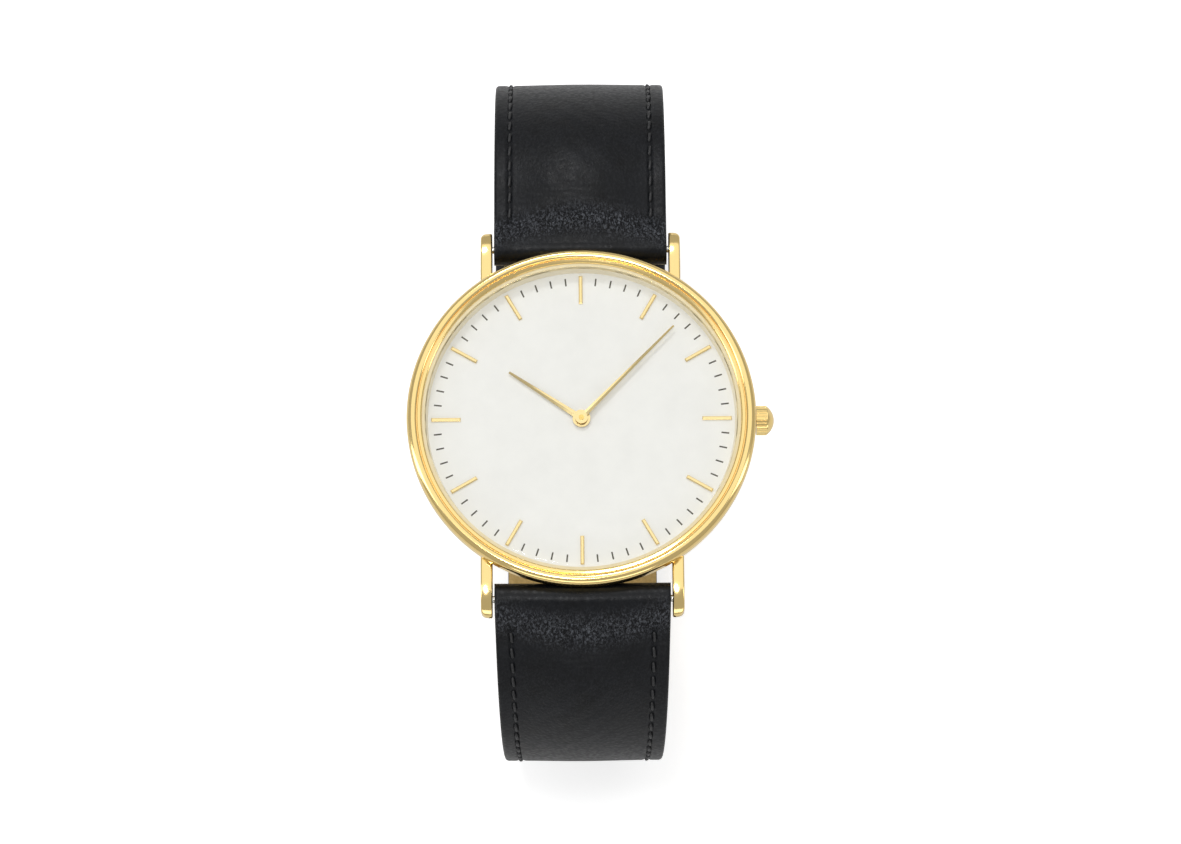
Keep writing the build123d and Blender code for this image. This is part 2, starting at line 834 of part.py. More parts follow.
pillar_places = [(3.4, -1.9), (3.3, 4.6), (-4.3, 0.3)]
pillar_radius = 0.7
screw_radius = 0.3
screw_head_radius = 0.65
screw_head_height = 0.25
battery_axis = (-6.2, -4.6)
clamp_post = (-1.6, -6.6)
battery_top = battery_bottom + battery_height
insulator_thickness = 0.05
slot_half = clutch_radius + 0.13

with BuildPart() as main_plate:
    with BuildSketch(Plane.XY.offset(plate_bottom)):
        Circle(movement_radius)
    extrude(amount=plate_top - plate_bottom)
    # recess for the motion works, open towards the dial
    with BuildSketch(Plane.XY.offset(recess_floor)):
        Circle(hour_module * 22)
        with Locations(minute_axis):
            Circle(motion_module * 20.5)
        with Locations(setting_axis):
            Circle(motion_module * 13)
    extrude(amount=plate_top - recess_floor, mode=Mode.SUBTRACT)
    # studs for the minute wheel and the setting wheel
    with BuildSketch(Plane.XY.offset(recess_floor)):
        with Locations(minute_axis, setting_axis):
            Circle(stud_radius)
    extrude(amount=plate_top - recess_floor - 0.05)
    # slots for the clutch and for the setting lever's finger
    with BuildSketch(Plane.XY.offset(plate_bottom)):
        with Locations(((setting_rim + square_end) / 2, 0)):
            Rectangle(square_end - setting_rim, 2 * slot_half)
        lever_slot_length = lever_groove_length + crown_pull + 0.4
        with Locations((lever_groove_start - 0.2 + lever_slot_length / 2, 0)):
            Rectangle(lever_slot_length, 2 * slot_half)
    extrude(amount=plate_top - plate_bottom, mode=Mode.SUBTRACT)
    # bearing hole for the stem
    with BuildSketch(Plane.YZ.offset(setting_rim)):
        with Locations((0, stem_height)):
            Circle(stem_radius + pin_clearance)
    extrude(amount=movement_radius, mode=Mode.SUBTRACT)
    with BuildSketch(Plane.XY.offset(plate_bottom)):
        Circle(cannon_radius + 0.05)
    extrude(amount=plate_top - plate_bottom, mode=Mode.SUBTRACT)
    with BuildSketch(Plane.XY.offset(plate_bottom)):
        with Locations(intermediate_axis, rotor_axis):
            Circle(pivot_hole_radius)
    extrude(amount=pivot_top - plate_bottom + 0.05, mode=Mode.SUBTRACT)
    with BuildSketch(Plane.XY.offset(dial_bottom)):
        with Locations(*[at_angle(dial_foot_circle, angle) for angle in dial_foot_angles]):
            Circle(dial_foot_radius + piece_fit)
    extrude(amount=-dial_foot_length - piece_fit, mode=Mode.SUBTRACT)
    # pocket for the battery and its insulator
    with BuildSketch(Plane.XY.offset(plate_bottom)):
        with Locations(battery_axis):
            Circle(battery_radius + 0.1)
    extrude(amount=battery_top + insulator_thickness - plate_bottom, mode=Mode.SUBTRACT)
    # pillars under the train bridge and the battery clamp, drilled for their screws
    with BuildSketch(Plane.XY.offset(bridge_top)):
        with Locations(*pillar_places):
            Circle(pillar_radius)
    extrude(amount=plate_bottom - bridge_top)
    with BuildSketch(Plane.XY.offset(battery_bottom)):
        with Locations(clamp_post):
            Circle(pillar_radius)
    extrude(amount=plate_bottom - battery_bottom)
    with BuildSketch(Plane.XY.offset(bridge_bottom)):
        with Locations(*pillar_places, clamp_post):
            Circle(screw_radius)
    extrude(amount=1.5, mode=Mode.SUBTRACT)
keep(main_plate, "main_plate")

with BuildPart() as train_bridge:
    with BuildSketch(Plane.XY.offset(bridge_bottom)):
        with Locations(*pillar_places, rotor_axis):
            Circle(pillar_radius + 0.25)
        make_hull()
        with Locations(*pillar_places):
            Circle(screw_radius + piece_fit, mode=Mode.SUBTRACT)
        with Locations(intermediate_axis, rotor_axis):
            Circle(pivot_hole_radius, mode=Mode.SUBTRACT)
        Circle(stud_radius + stud_clearance, mode=Mode.SUBTRACT)
    extrude(amount=bridge_thickness)
keep(train_bridge, "train_bridge")

with BuildPart() as movement_ring:
    with BuildSketch(Plane.XZ):
        with BuildLine():
            Polyline(
                (movement_radius + piece_fit, back_thickness + 0.1),
                (skirt_radius - back_skirt_wall - piece_fit, back_thickness + 0.1),
                (skirt_radius - back_skirt_wall - piece_fit, skirt_top + 0.1),
                (chamber_radius - piece_fit, skirt_top + 0.1),
                (chamber_radius - piece_fit, dial_bottom),
                (movement_radius + piece_fit, dial_bottom),
                close=True,
            )
        make_face()
    revolve(axis=Axis.Z)
    with BuildSketch(Plane.YZ.offset(movement_radius - 1)):
        with Locations((0, stem_height)):
            Circle(stem_radius + 0.2)
    extrude(amount=chamber_radius, mode=Mode.SUBTRACT)
keep(movement_ring, "movement_ring")

screw_length = 1.45
with BuildPart() as movement_screws:
    for places, head_top in ((pillar_places, bridge_bottom), ([clamp_post], battery_bottom - 0.12)):
        with BuildSketch(Plane.XY.offset(head_top)):
            with Locations(*places):
                Circle(screw_head_radius)
        extrude(amount=-screw_head_height)
        with BuildSketch(Plane.XY.offset(head_top)):
            with Locations(*places):
                Circle(screw_radius)
        extrude(amount=screw_length - (head_top - bridge_bottom))
        with BuildSketch(Plane.XY.offset(head_top - screw_head_height)):
            with Locations(*places):
                Rectangle(2 * screw_head_radius, 0.16)
        extrude(amount=0.12, mode=Mode.SUBTRACT)
keep(movement_screws, "movement_screws")

# ---- motor and electrics ----

stator_bottom = plate_bottom - 0.35
coil_y = 7.6
coil_left = -7.2
coil_right = 1.4
stator_near = 3.6
stator_arm_width = 1.6

with BuildPart() as stator:
    with BuildSketch(Plane.XY.offset(stator_bottom)):
        with Locations(((coil_left + coil_right) / 2, (stator_near + 6.2) / 2)):
            Rectangle(coil_right - coil_left + stator_arm_width, 6.2 - stator_near)
        for arm_x in (coil_left, coil_right):
            with Locations((arm_x, (stator_near + coil_y + 0.6) / 2)):
                Rectangle(stator_arm_width, coil_y + 0.6 - stator_near)
        with Locations(rotor_axis):
            Circle(magnet_radius + 0.2, mode=Mode.SUBTRACT)
        # saturation slits beside the rotor
        with Locations((rotor_axis[0], rotor_axis[1] + 1.6)):
            Rectangle(0.3, 0.6, mode=Mode.SUBTRACT)
        with Locations(intermediate_axis):
            Circle(centre_module * 8, mode=Mode.SUBTRACT)
    extrude(amount=plate_bottom - stator_bottom)
keep(stator, "stator")

core_thickness = 0.25
core_bottom = stator_bottom - core_thickness
with BuildPart() as coil_core:
    with BuildSketch(Plane.XY.offset(core_bottom)):
        with Locations(((coil_left + coil_right) / 2, coil_y)):
            Rectangle(coil_right - coil_left + stator_arm_width, 0.8)
    extrude(amount=core_thickness)
keep(coil_core, "coil_core")

winding_length = coil_right - coil_left - stator_arm_width - 0.5
with BuildPart() as coil_winding:
    with BuildSketch(Plane.YZ.offset((coil_left + coil_right) / 2)):
        with Locations((coil_y, core_bottom + core_thickness / 2)):
            RectangleRounded(2.0, 0.86, 0.3)
            Rectangle(0.8, core_thickness, mode=Mode.SUBTRACT)
    extrude(amount=winding_length / 2, both=True)
keep(coil_winding, "coil_winding")

board_thickness = 0.2
board_bottom = plate_bottom - board_thickness
with BuildPart() as circuit_board:
    with BuildSketch(Plane.XY.offset(board_bottom)):
        with BuildLine():
            board_inner = 5.2
            board_outer = movement_radius - 0.7
            CenterArc((0, 0), board_outer, -86, 48)
            CenterArc((0, 0), board_inner, -86, 48)
            for angle in (-86, -38):
                Line(at_angle(board_inner, angle), at_angle(board_outer, angle))
        make_face()
    extrude(amount=board_thickness)
keep(circuit_board, "circuit_board")

with BuildPart() as drive_chip:
    with Locations((6.4, -6.4, board_bottom)):
        Box(1.8, 1.8, 0.4, align=(Align.CENTER, Align.CENTER, Align.MAX))
    chamfer(faces().sort_by(Axis.Z)[0].edges(), length=0.08)
keep(drive_chip, "drive_chip")

quartz_radius = 0.6
quartz_length = 4.4
with BuildPart() as quartz_can:
    with BuildSketch(Plane.YZ.offset(1.6)):
        with Locations((-8.6, board_bottom - quartz_radius)):
            Circle(quartz_radius)
    extrude(amount=quartz_length)
    fillet(faces().sort_by(Axis.X)[-1].edges(), radius=0.2)
keep(quartz_can, "quartz_can")

with BuildPart() as battery:
    with BuildSketch(Plane.XY.offset(battery_bottom)):
        with Locations(battery_axis):
            Circle(battery_radius)
    extrude(amount=battery_height)
    fillet(faces().sort_by(Axis.Z)[0].edges(), radius=0.2)
    # step of the smaller negative cap
    with BuildSketch(Plane.XY.offset(battery_top - 0.2)):
        with Locations(battery_axis):
            Circle(battery_radius + 0.1)
            Circle(battery_radius - 0.7, mode=Mode.SUBTRACT)
    extrude(amount=0.3, mode=Mode.SUBTRACT)
keep(battery, "battery")

with BuildPart() as battery_insulator:
    with BuildSketch(Plane.XY.offset(battery_top)):
        with Locations(battery_axis):
            Circle(battery_radius)
    extrude(amount=insulator_thickness)
keep(battery_insulator, "battery_insulator")

clamp_thickness = 0.12
with BuildPart() as battery_clamp:
    with BuildSketch(Plane.XY.offset(battery_bottom - clamp_thickness)):
        with Locations(battery_axis):
            Circle(1.1)
        with Locations(clamp_post):
            Circle(pillar_radius)
        make_hull()
        with Locations(clamp_post):
            Circle(screw_radius + piece_fit, mode=Mode.SUBTRACT)
    extrude(amount=clamp_thickness)
keep(battery_clamp, "battery_clamp")

# ---- spring bars ----


def build_spring_bar(name, y, z, seat):
    """Tube, two sprung pins and the spring of one bar. Its pins enter seats at plus and minus seat."""
    tube_half = seat - 0.6
    cap = 0.2
    bore = bar_tube_radius - bar_tube_wall
    with BuildPart() as bar_tube:
        with Locations(Location((0, y, z), (0, 90, 0))):
            Cylinder(bar_tube_radius, 2 * tube_half)
            Cylinder(bore, 2 * (tube_half - cap), mode=Mode.SUBTRACT)
            Cylinder(bar_pin_radius + pin_clearance, 2 * tube_half, mode=Mode.SUBTRACT)
    keep(bar_tube, f"{name}_tube")
    flange_length = 1.0
    flange_end = tube_half - cap
    flange_start = flange_end - flange_length
    for side, sign in (("right", 1), ("left", -1)):
        with BuildPart() as pin:
            with BuildSketch(Plane.YZ.offset(sign * flange_start)):
                with Locations((y, z)):
                    Circle(bore - pin_clearance)
            extrude(amount=sign * flange_length)
            with BuildSketch(Plane.YZ.offset(sign * flange_end)):
                with Locations((y, z)):
                    Circle(bar_pin_radius)
            extrude(amount=sign * (seat + bar_pin_engagement - flange_end))
            chamfer(faces().sort_by(Axis.X)[-1 if sign > 0 else 0].edges(), length=0.12)
        keep(pin, f"{name}_pin_{side}")
    wire_radius = 0.09
    coil_radius = bore - 2 * wire_radius - 0.02
    coil_height = 2 * flange_start - 2 * wire_radius
    with BuildPart() as spring:
        with BuildLine():
            coil = Helix(
                pitch=coil_height / 14,
                height=coil_height,
                radius=coil_radius,
                center=(-coil_height / 2, y, z),
                direction=(1, 0, 0),
            )
        with BuildSketch(Plane(origin=coil @ 0, z_dir=coil % 0)):
            Circle(wire_radius)
        sweep(path=coil)
    keep(spring, f"{name}_spring")


build_spring_bar("upper_bar", bar_y, bar_height, lug_inner)
build_spring_bar("lower_bar", -bar_y, bar_height, lug_inner)
build_spring_bar("buckle_bar", buckle_y, buckle_z, buckle_inner)

# ---- strap ----

loop_top = bar_height + roll_radius
loop_bottom = -60.0


with BuildPart() as short_leather:
    with BuildSketch(Plane.YZ):
        with BuildLine():
            draw_band(short_path, 0, short_length, lining_top, leather_top)
        make_face()
        with Locations((bar_y, bar_height)):
            Circle(roll_radius)
        with Locations((buckle_y, buckle_z)):
            Circle(leather_top + 0.15)
    extrude(amount=strap_width / 2, both=True)
    with BuildSketch(Plane.XZ):
        with BuildLine():
            Polyline(*taper_points(short_taper, loop_top, loop_bottom), close=True)
        make_face()
    extrude(amount=-2 * (bar_y + short_shoulder_radius), mode=Mode.INTERSECT)
    with Locations(Location((0, bar_y, bar_height), (0, 90, 0)), Location((0, buckle_y, buckle_z), (0, 90, 0))):
        Cylinder(tunnel_radius, 2 * strap_width, mode=Mode.SUBTRACT)
    # notch for the tongue's eye
    with Locations(plane_on(short_path, short_length, 0)):
        Box(tongue_width + 1.2, 3.2, 4.0, mode=Mode.SUBTRACT)
keep(short_leather, "short_strap_leather")

with BuildPart() as short_lining:
    with BuildSketch(Plane.YZ):
        with BuildLine():
            draw_band(short_path, roll_radius, short_length - 1.7, -leather_top, lining_top)
        make_face()
    extrude(amount=strap_width / 2, both=True)
    with BuildSketch(Plane.XZ):
        with BuildLine():
            Polyline(*taper_points(short_taper, loop_top, loop_bottom), close=True)
        make_face()
    extrude(amount=-2 * (bar_y + short_shoulder_radius), mode=Mode.INTERSECT)
keep(short_lining, "short_strap_lining")

hole_places = [tongue_place + step * hole_pitch for step in (-3, -2, -1, 0, 1, 2)]
straight_start = long_length - tail_length - flat_run
tip_length = 7.5


def build_long_layer(name, inner, outer, start):
    """One layer of the long strap, with its taper, its punched holes and its rounded tip."""
    with BuildPart() as layer:
        with BuildSketch(Plane.YZ):
            with BuildLine():
                draw_band(long_path, start, straight_start, inner, outer)
            make_face()
            if outer == leather_top:
                with Locations((-bar_y, bar_height)):
                    Circle(roll_radius)
        extrude(amount=strap_width / 2, both=True)
        with BuildSketch(Plane.XZ):
            with BuildLine():
                Polyline(*taper_points(long_taper, loop_top, loop_bottom), close=True)
            make_face()
        extrude(amount=2 * (bar_y + long_side_radius), both=True, mode=Mode.INTERSECT)
        with BuildSketch(Plane.YZ):
            with BuildLine():
                draw_band(long_path, straight_start, long_length, inner, outer)
            make_face()
        extrude(amount=strap_end_width / 2, both=True)
        if outer == leather_top:
            with Locations(Location((0, -bar_y, bar_height), (0, 90, 0))):
                Cylinder(tunnel_radius, 2 * strap_width, mode=Mode.SUBTRACT)
        for place in hole_places:
            with BuildSketch(plane_on(long_path, place, 0)):
                SlotOverall(hole_length, hole_width, rotation=90)
            extrude(amount=strap_thickness, both=True, mode=Mode.SUBTRACT)
        # half-ellipse at the tip
        with BuildSketch(plane_on(long_path, long_length - tip_length, 0)):
            with Locations((0, -tip_length)):
                Rectangle(strap_width, 2 * tip_length)
            Ellipse(strap_end_width / 2, tip_length, mode=Mode.SUBTRACT)
        extrude(amount=2 * strap_thickness, both=True, mode=Mode.SUBTRACT)
    keep(layer, name)


build_long_layer("long_strap_leather", lining_top, leather_top, 0)
build_long_layer("long_strap_lining", -leather_top, lining_top, roll_radius)


def build_stitching(name, path, taper, start, end):
    """Two rows of stitches on the outside of a strap."""
    with BuildPart() as stitching:
        for step in range(int((end - start) / stitch_pitch)):
            distance = start + (step + 0.5) * stitch_pitch
            side = half_width(taper, walk(path, distance)[1]) - stitch_inset
            with Locations(plane_on(path, distance, leather_top + stitch_height / 2)):
                with Locations((side, 0), (-side, 0)):
                    Box(stitch_width, stitch_length, stitch_height)
    keep(stitching, name)


build_stitching("short_strap_stitching", short_path, short_taper, 2 * roll_radius, short_length - 2)
build_stitching("long_strap_stitching", long_path, long_taper, 2 * roll_radius, long_length - tip_length)

# ---- buckle ----

strap_outer = leather_top + layer_gap + strap_thickness  # long strap's outer face over the bar's axis
front_rise = strap_outer + front_bar_gap + front_bar_radius
ear_radius = 1.35
along_strap = (0, cos(radians(buckle_heading)), sin(radians(buckle_heading)))
# X runs from the bar to the front bar, Y out of the loop
buckle_plane = Plane(origin=(0, buckle_y, buckle_z), x_dir=along_strap, z_dir=(1, 0, 0))
outer_half = buckle_inner + buckle_arm_width
tongue_rise = front_rise + 0.3  # tongue's middle where it rests on the front bar

with BuildPart() as buckle_frame:
    for start_x in (-outer_half, buckle_inner):
        with BuildSketch(buckle_plane.offset(start_x)):
            Circle(ear_radius)
            with Locations((buckle_length, front_rise)):
                Circle(front_bar_radius)
            make_hull()
        extrude(amount=buckle_arm_width)
    with BuildSketch(buckle_plane.offset(-buckle_inner)):
        with Locations((buckle_length, front_rise)):
            Circle(front_bar_radius)
    extrude(amount=2 * buckle_inner)
    # plan of the frame, with rounded corners at the front
    with BuildSketch(plane_on(short_path, short_length, 0)):
        with BuildLine():
            Polyline(
                (-outer_half, -2 * ear_radius),
                (-outer_half, buckle_length + front_bar_radius),
                (outer_half, buckle_length + front_bar_radius),
                (outer_half, -2 * ear_radius),
                close=True,
            )
        make_face()
        fillet(vertices().group_by(Axis.Y)[-1], radius=1.5 * buckle_arm_width)
    extrude(amount=2 * buckle_length, both=True, mode=Mode.INTERSECT)
    # blind holes for the spring bar's pins
    with BuildSketch(buckle_plane.offset(-buckle_inner - bar_pin_engagement - 0.1)):
        Circle(bar_pin_radius + pin_clearance)
    extrude(amount=2 * (buckle_inner + bar_pin_engagement + 0.1), mode=Mode.SUBTRACT)
    # notch that the tongue rests in
    with BuildSketch(buckle_plane.offset(-tongue_width / 2 - 0.15)):
        with Locations((buckle_length, tongue_rise - tongue_thickness / 2 - 0.12)):
            Rectangle(4 * front_bar_radius, front_bar_radius * 2, align=(Align.CENTER, Align.MIN))
    extrude(amount=tongue_width + 0.3, mode=Mode.SUBTRACT)
keep(buckle_frame, "buckle_frame")

eye_radius = 1.25
shank_place = 0.55  # tongue's shank where it stands in the hole, along from the bar's axis
with BuildPart() as buckle_tongue:
    with BuildSketch(buckle_plane.offset(-tongue_width / 2)):
        with BuildLine():
            FilletPolyline(
                (shank_place, 0.5),
                (shank_place, strap_outer + 0.85),
                (buckle_length + front_bar_radius - 0.1, tongue_rise),
                radius=1.0,
            )
        trace(line_width=tongue_thickness)
        Circle(eye_radius)
        Circle(bar_tube_radius + tongue_fit, mode=Mode.SUBTRACT)
    extrude(amount=tongue_width)
keep(buckle_tongue, "buckle_tongue")

# ---- keepers ----


def build_keeper(name, middle):
    """A leather loop around both straps, bent to the strap's corner, by its middle's distance from the bar."""
    distance = short_length - middle + keeper_length / 2
    heading = walk(short_path, distance)[2]
    y, z = walk(short_path, distance)[:2]
    backwards = (0, -cos(radians(heading)), -sin(radians(heading)))
    low = -leather_top - keeper_gap
    high = strap_outer + keeper_gap
    width = strap_end_width + 2 * keeper_side_gap
    with BuildPart() as keeper:
        with BuildSketch(Plane(origin=(0, y, z), x_dir=(1, 0, 0), z_dir=backwards)):
            with Locations((0, (low + high) / 2)):
                RectangleRounded(width + 2 * keeper_wall, high - low + 2 * keeper_wall, keeper_wall)
                Rectangle(width, high - low, mode=Mode.SUBTRACT)
        revolve(
            axis=Axis((0, corner_y, corner_z), (1, 0, 0)),
            revolution_arc=degrees(keeper_length / short_corner_radius),
        )
    keep(keeper, name)


build_keeper("fixed_keeper", fixed_keeper_place)
build_keeper("free_keeper", free_keeper_place)
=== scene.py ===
import bmesh
import bpy
import math
import numpy as np
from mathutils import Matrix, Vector


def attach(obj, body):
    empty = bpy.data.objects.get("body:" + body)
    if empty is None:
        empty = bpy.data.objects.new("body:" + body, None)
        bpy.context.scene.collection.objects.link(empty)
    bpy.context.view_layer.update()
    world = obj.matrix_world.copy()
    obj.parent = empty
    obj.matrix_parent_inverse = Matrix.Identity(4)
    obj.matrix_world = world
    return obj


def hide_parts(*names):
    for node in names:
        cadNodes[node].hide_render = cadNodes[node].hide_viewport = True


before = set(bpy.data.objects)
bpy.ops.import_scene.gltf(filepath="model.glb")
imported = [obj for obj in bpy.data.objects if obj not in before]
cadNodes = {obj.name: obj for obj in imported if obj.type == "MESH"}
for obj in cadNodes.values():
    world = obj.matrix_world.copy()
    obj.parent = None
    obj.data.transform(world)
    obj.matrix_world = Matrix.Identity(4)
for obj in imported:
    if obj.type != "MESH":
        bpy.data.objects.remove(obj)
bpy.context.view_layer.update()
mm = 0.001  # the shapes below are worked out in millimetres and stored in metres
print("frame loaded,", len(cadNodes), "nodes")


# materials: one small function adds a node, the rest name this watch's finishes
def srgb(code):
    channels = [int(code[i:i + 2], 16) / 255 for i in (1, 3, 5)]
    return tuple(c / 12.92 if c <= 0.04045 else ((c + 0.055) / 1.055) ** 2.4 for c in channels) + (1.0,)


def addNode(tree, kind, sockets=None, **settings):
    made = tree.nodes.new(kind)
    for key, value in settings.items():
        setattr(made, key, value)
    for key, value in (sockets or {}).items():
        if isinstance(value, bpy.types.NodeSocket):
            tree.links.new(value, made.inputs[key])
        else:
            made.inputs[key].default_value = value
    return made


def startMaterial(name, **sockets):
    material = bpy.data.materials.new(name)
    material.use_nodes = True
    tree = material.node_tree
    tree.nodes.clear()
    out = addNode(tree, "ShaderNodeOutputMaterial")
    shader = addNode(tree, "ShaderNodeBsdfPrincipled", {k.replace("_", " "): v for k, v in sockets.items()})
    tree.links.new(shader.outputs["BSDF"], out.inputs["Surface"])
    place = addNode(tree, "ShaderNodeTexCoord").outputs["Object"]
    return material, tree, shader, place


# noise whose lumps are this many millimetres across
def grain(tree, place, size, detail=3.0, roughness=0.55):
    return addNode(
        tree, "ShaderNodeTexNoise",
        {"Vector": place, "Scale": 1000 / size, "Detail": detail, "Roughness": roughness}
    ).outputs["Fac"]


def spread(tree, value, low, high, start=0.3, end=0.7):
    sockets = {"Value": value, "From Min": start, "From Max": end, "To Min": low, "To Max": high}
    return addNode(tree, "ShaderNodeMapRange", sockets).outputs["Result"]


def bump(tree, height, distance, strength=1.0, under=None):
    sockets = {"Height": height, "Distance": distance * mm, "Strength": strength}
    if under:
        sockets["Normal"] = under
    return addNode(tree, "ShaderNodeBump", sockets).outputs["Normal"]


def between(tree, share, first, second):
    made = addNode(tree, "ShaderNodeMix", data_type="RGBA")
    for socket, value in ((made.inputs[0], share), (made.inputs[6], first), (made.inputs[7], second)):
        if isinstance(value, bpy.types.NodeSocket):
            tree.links.new(value, socket)
        else:
            socket.default_value = value
    return made.outputs[2]


# metal: a colour, a roughness that drifts a little, and a very fine bump
def metalFinish(name, colour, rough, drift=0.03, lump=2.0, relief=0.0006):
    material, tree, shader, place = startMaterial(name, Metallic=1.0, Base_Color=srgb(colour))
    smudge = grain(tree, place, lump)
    tree.links.new(spread(tree, smudge, rough - drift, rough + drift), shader.inputs["Roughness"])
    tree.links.new(bump(tree, grain(tree, place, 0.12), relief), shader.inputs["Normal"])
    return material


# plastic, rubber and lacquer: two close tones that drift into each other under a fine bump
def plainFinish(name, light, dark, rough, lump=1.5, relief=0.002, grainSize=0.15):
    material, tree, shader, place = startMaterial(name, Roughness=rough)
    tree.links.new(
        between(tree, spread(tree, grain(tree, place, lump), 0, 1), srgb(light), srgb(dark)),
        shader.inputs["Base Color"]
    )
    tree.links.new(bump(tree, grain(tree, place, grainSize), relief), shader.inputs["Normal"])
    return material


# calf leather: near-black charcoal, fine pebbled grain, and creases where the piece's "crease" attribute
# says; on the crease ridges a pale grey painted highlight is mixed into the colour
def calfLeather(name, light, dark, rough):
    material, tree, shader, place = startMaterial(name, Specular_IOR_Level=0.18)
    tone = between(tree, spread(tree, grain(tree, place, 3.0), 0, 1), srgb(light), srgb(dark))
    pebbles = addNode(
        tree, "ShaderNodeTexVoronoi", {"Vector": place, "Scale": 1000 / 0.42, "Randomness": 1.0},
        feature="SMOOTH_F1"
    )
    stretched = addNode(
        tree, "ShaderNodeMapping", {"Vector": place, "Scale": (1.25, 0.8, 0.8)}
    ).outputs["Vector"]
    folds = addNode(
        tree, "ShaderNodeTexNoise",
        {"Vector": stretched, "Scale": 1000 / 0.26, "Detail": 2.0, "Roughness": 0.6, "Distortion": 0.8}
    ).outputs["Fac"]
    creased = addNode(tree, "ShaderNodeAttribute", attribute_name="crease").outputs["Fac"]
    amount = addNode(tree, "ShaderNodeMath", {0: creased, 1: folds}, operation="MULTIPLY").outputs[0]
    # painted highlight: where the crease attribute and the fold noise are high, a pale grey (#5e6167) is
    # mixed into the base colour, standing in for the lamps' sheen on the crease ridges
    paintedHighlightSpread = spread(tree, folds, 0, 1, 0.46, 0.66)
    paintedCreaseHighlight = addNode(tree, "ShaderNodeMath", {0: creased, 1: paintedHighlightSpread}, operation="MULTIPLY").outputs[0]
    tree.links.new(between(tree, paintedCreaseHighlight, tone, srgb("#5e6167")), shader.inputs["Base Color"])
    relief = bump(tree, pebbles.outputs["Distance"], 0.035, 0.7)
    relief = bump(tree, grain(tree, place, 0.16), 0.012, 0.6, relief)
    relief = bump(tree, amount, 0.5, 1.0, relief)
    tree.links.new(relief, shader.inputs["Normal"])
    tree.links.new(
        spread(tree, pebbles.outputs["Distance"], rough - 0.06, rough + 0.08, 0.1, 0.6),
        shader.inputs["Roughness"]
    )
    return material


# sueded lining: tan, two tones, a soft nap
def suedeLining(name, light, dark):
    material, tree, shader, place = startMaterial(
        name, Roughness=0.9, Sheen_Weight=0.25, Sheen_Roughness=0.5
    )
    nap = grain(tree, place, 0.35, 6.0, 0.7)
    tree.links.new(
        between(tree, spread(tree, nap, 0, 1, 0.35, 0.65), srgb(light), srgb(dark)),
        shader.inputs["Base Color"]
    )
    tree.links.new(bump(tree, nap, 0.06, 0.8), shader.inputs["Normal"])
    return material


# crystal: mostly see-through, with a thin reflection that grows at the edge
def flatGlass(name):
    material = bpy.data.materials.new(name)
    material.use_nodes = True
    tree = material.node_tree
    tree.nodes.clear()
    place = addNode(tree, "ShaderNodeTexCoord").outputs["Object"]
    ripple = bump(tree, grain(tree, place, 6.0), 0.0008, 0.3)
    clear = addNode(tree, "ShaderNodeBsdfTransparent", {"Color": (1, 1, 1, 1)})
    glare = addNode(
        tree, "ShaderNodeBsdfGlossy", {"Color": (1, 1, 1, 1), "Roughness": 0.01, "Normal": ripple}
    )
    bent = addNode(tree, "ShaderNodeFresnel", {"IOR": 1.28}).outputs["Fac"]
    inside = addNode(tree, "ShaderNodeNewGeometry").outputs["Backfacing"]
    outside = addNode(tree, "ShaderNodeMath", {0: 1.0, 1: inside}, operation="SUBTRACT").outputs[0]
    edge = addNode(tree, "ShaderNodeMath", {0: bent, 1: outside}, operation="MULTIPLY").outputs[0]
    mixed = addNode(tree, "ShaderNodeMixShader", {"Fac": edge, 1: clear.outputs[0], 2: glare.outputs[0]})
    out = addNode(tree, "ShaderNodeOutputMaterial")
    tree.links.new(mixed.outputs[0], out.inputs["Surface"])
    return material


# bezel, case, crown, buckle
caseGold = metalFinish("polished pale gold plate", "#f7da94", 0.12, 0.02, 4.0, 0.0003)
dialGold = metalFinish("polished gilt of hands and markers", "#f3dca0", 0.16, 0.02, 1.5, 0.0003)
rehautCream = plainFinish("cream lacquered flange", "#f3e9cf", "#efe4c6", 0.35, 3.0, 0.0008, 0.1)
backSteel = metalFinish("circular-brushed steel", "#c9c7c2", 0.3, 0.06, 1.2, 0.001)
stemSteel = metalFinish("turned steel", "#bdbcb8", 0.24, 0.05, 0.8, 0.001)
plateBrass = metalFinish("matted plate brass", "#d8bd78", 0.38, 0.06, 0.9, 0.002)
wheelBrass = metalFinish("cut wheel brass", "#e0c070", 0.26, 0.05, 0.6, 0.001)
coilCopper = metalFinish("enamelled copper winding", "#b8643a", 0.35, 0.05, 0.4, 0.004)
magnetGrey = metalFinish("sintered magnet", "#77787a", 0.5, 0.06, 0.3, 0.004)
dialLacquer = plainFinish("off-white dial lacquer", "#efefea", "#ebebe6", 0.42, 3.0, 0.0012, 0.1)
sealRubber = plainFinish("black seal rubber", "#1b1b1b", "#141414", 0.6)
ringPlastic = plainFinish("white acetal ring", "#dcdcd6", "#d2d2cc", 0.45)
sealNylon = plainFinish("ivory nylon seal", "#eadcb4", "#e4d5aa", 0.4)
boardGreen = plainFinish("green solder mask", "#1f5b34", "#17482a", 0.3, 0.8)
chipBlack = plainFinish("moulded epoxy", "#151515", "#1d1d1d", 0.7, 0.5, 0.006)
amberFilm = plainFinish("amber insulating film", "#b98a3a", "#a87b30", 0.3)
printInk = plainFinish("dark printed ink", "#3f3b30", "#4b4638", 0.55, 0.5, 0.001, 0.05)
blackThread = plainFinish("waxed black thread", "#1c1c1f", "#0c0c0e", 0.42, 0.25, 0.03, 0.12)
strapCalf = calfLeather("creased black calf with painted crease highlight", "#101216", "#090a0c", 0.34)
strapSuede = suedeLining("tan sueded lining", "#c9aa6c", "#b4975c")
crystalGlass = flatGlass("flat clear crystal")

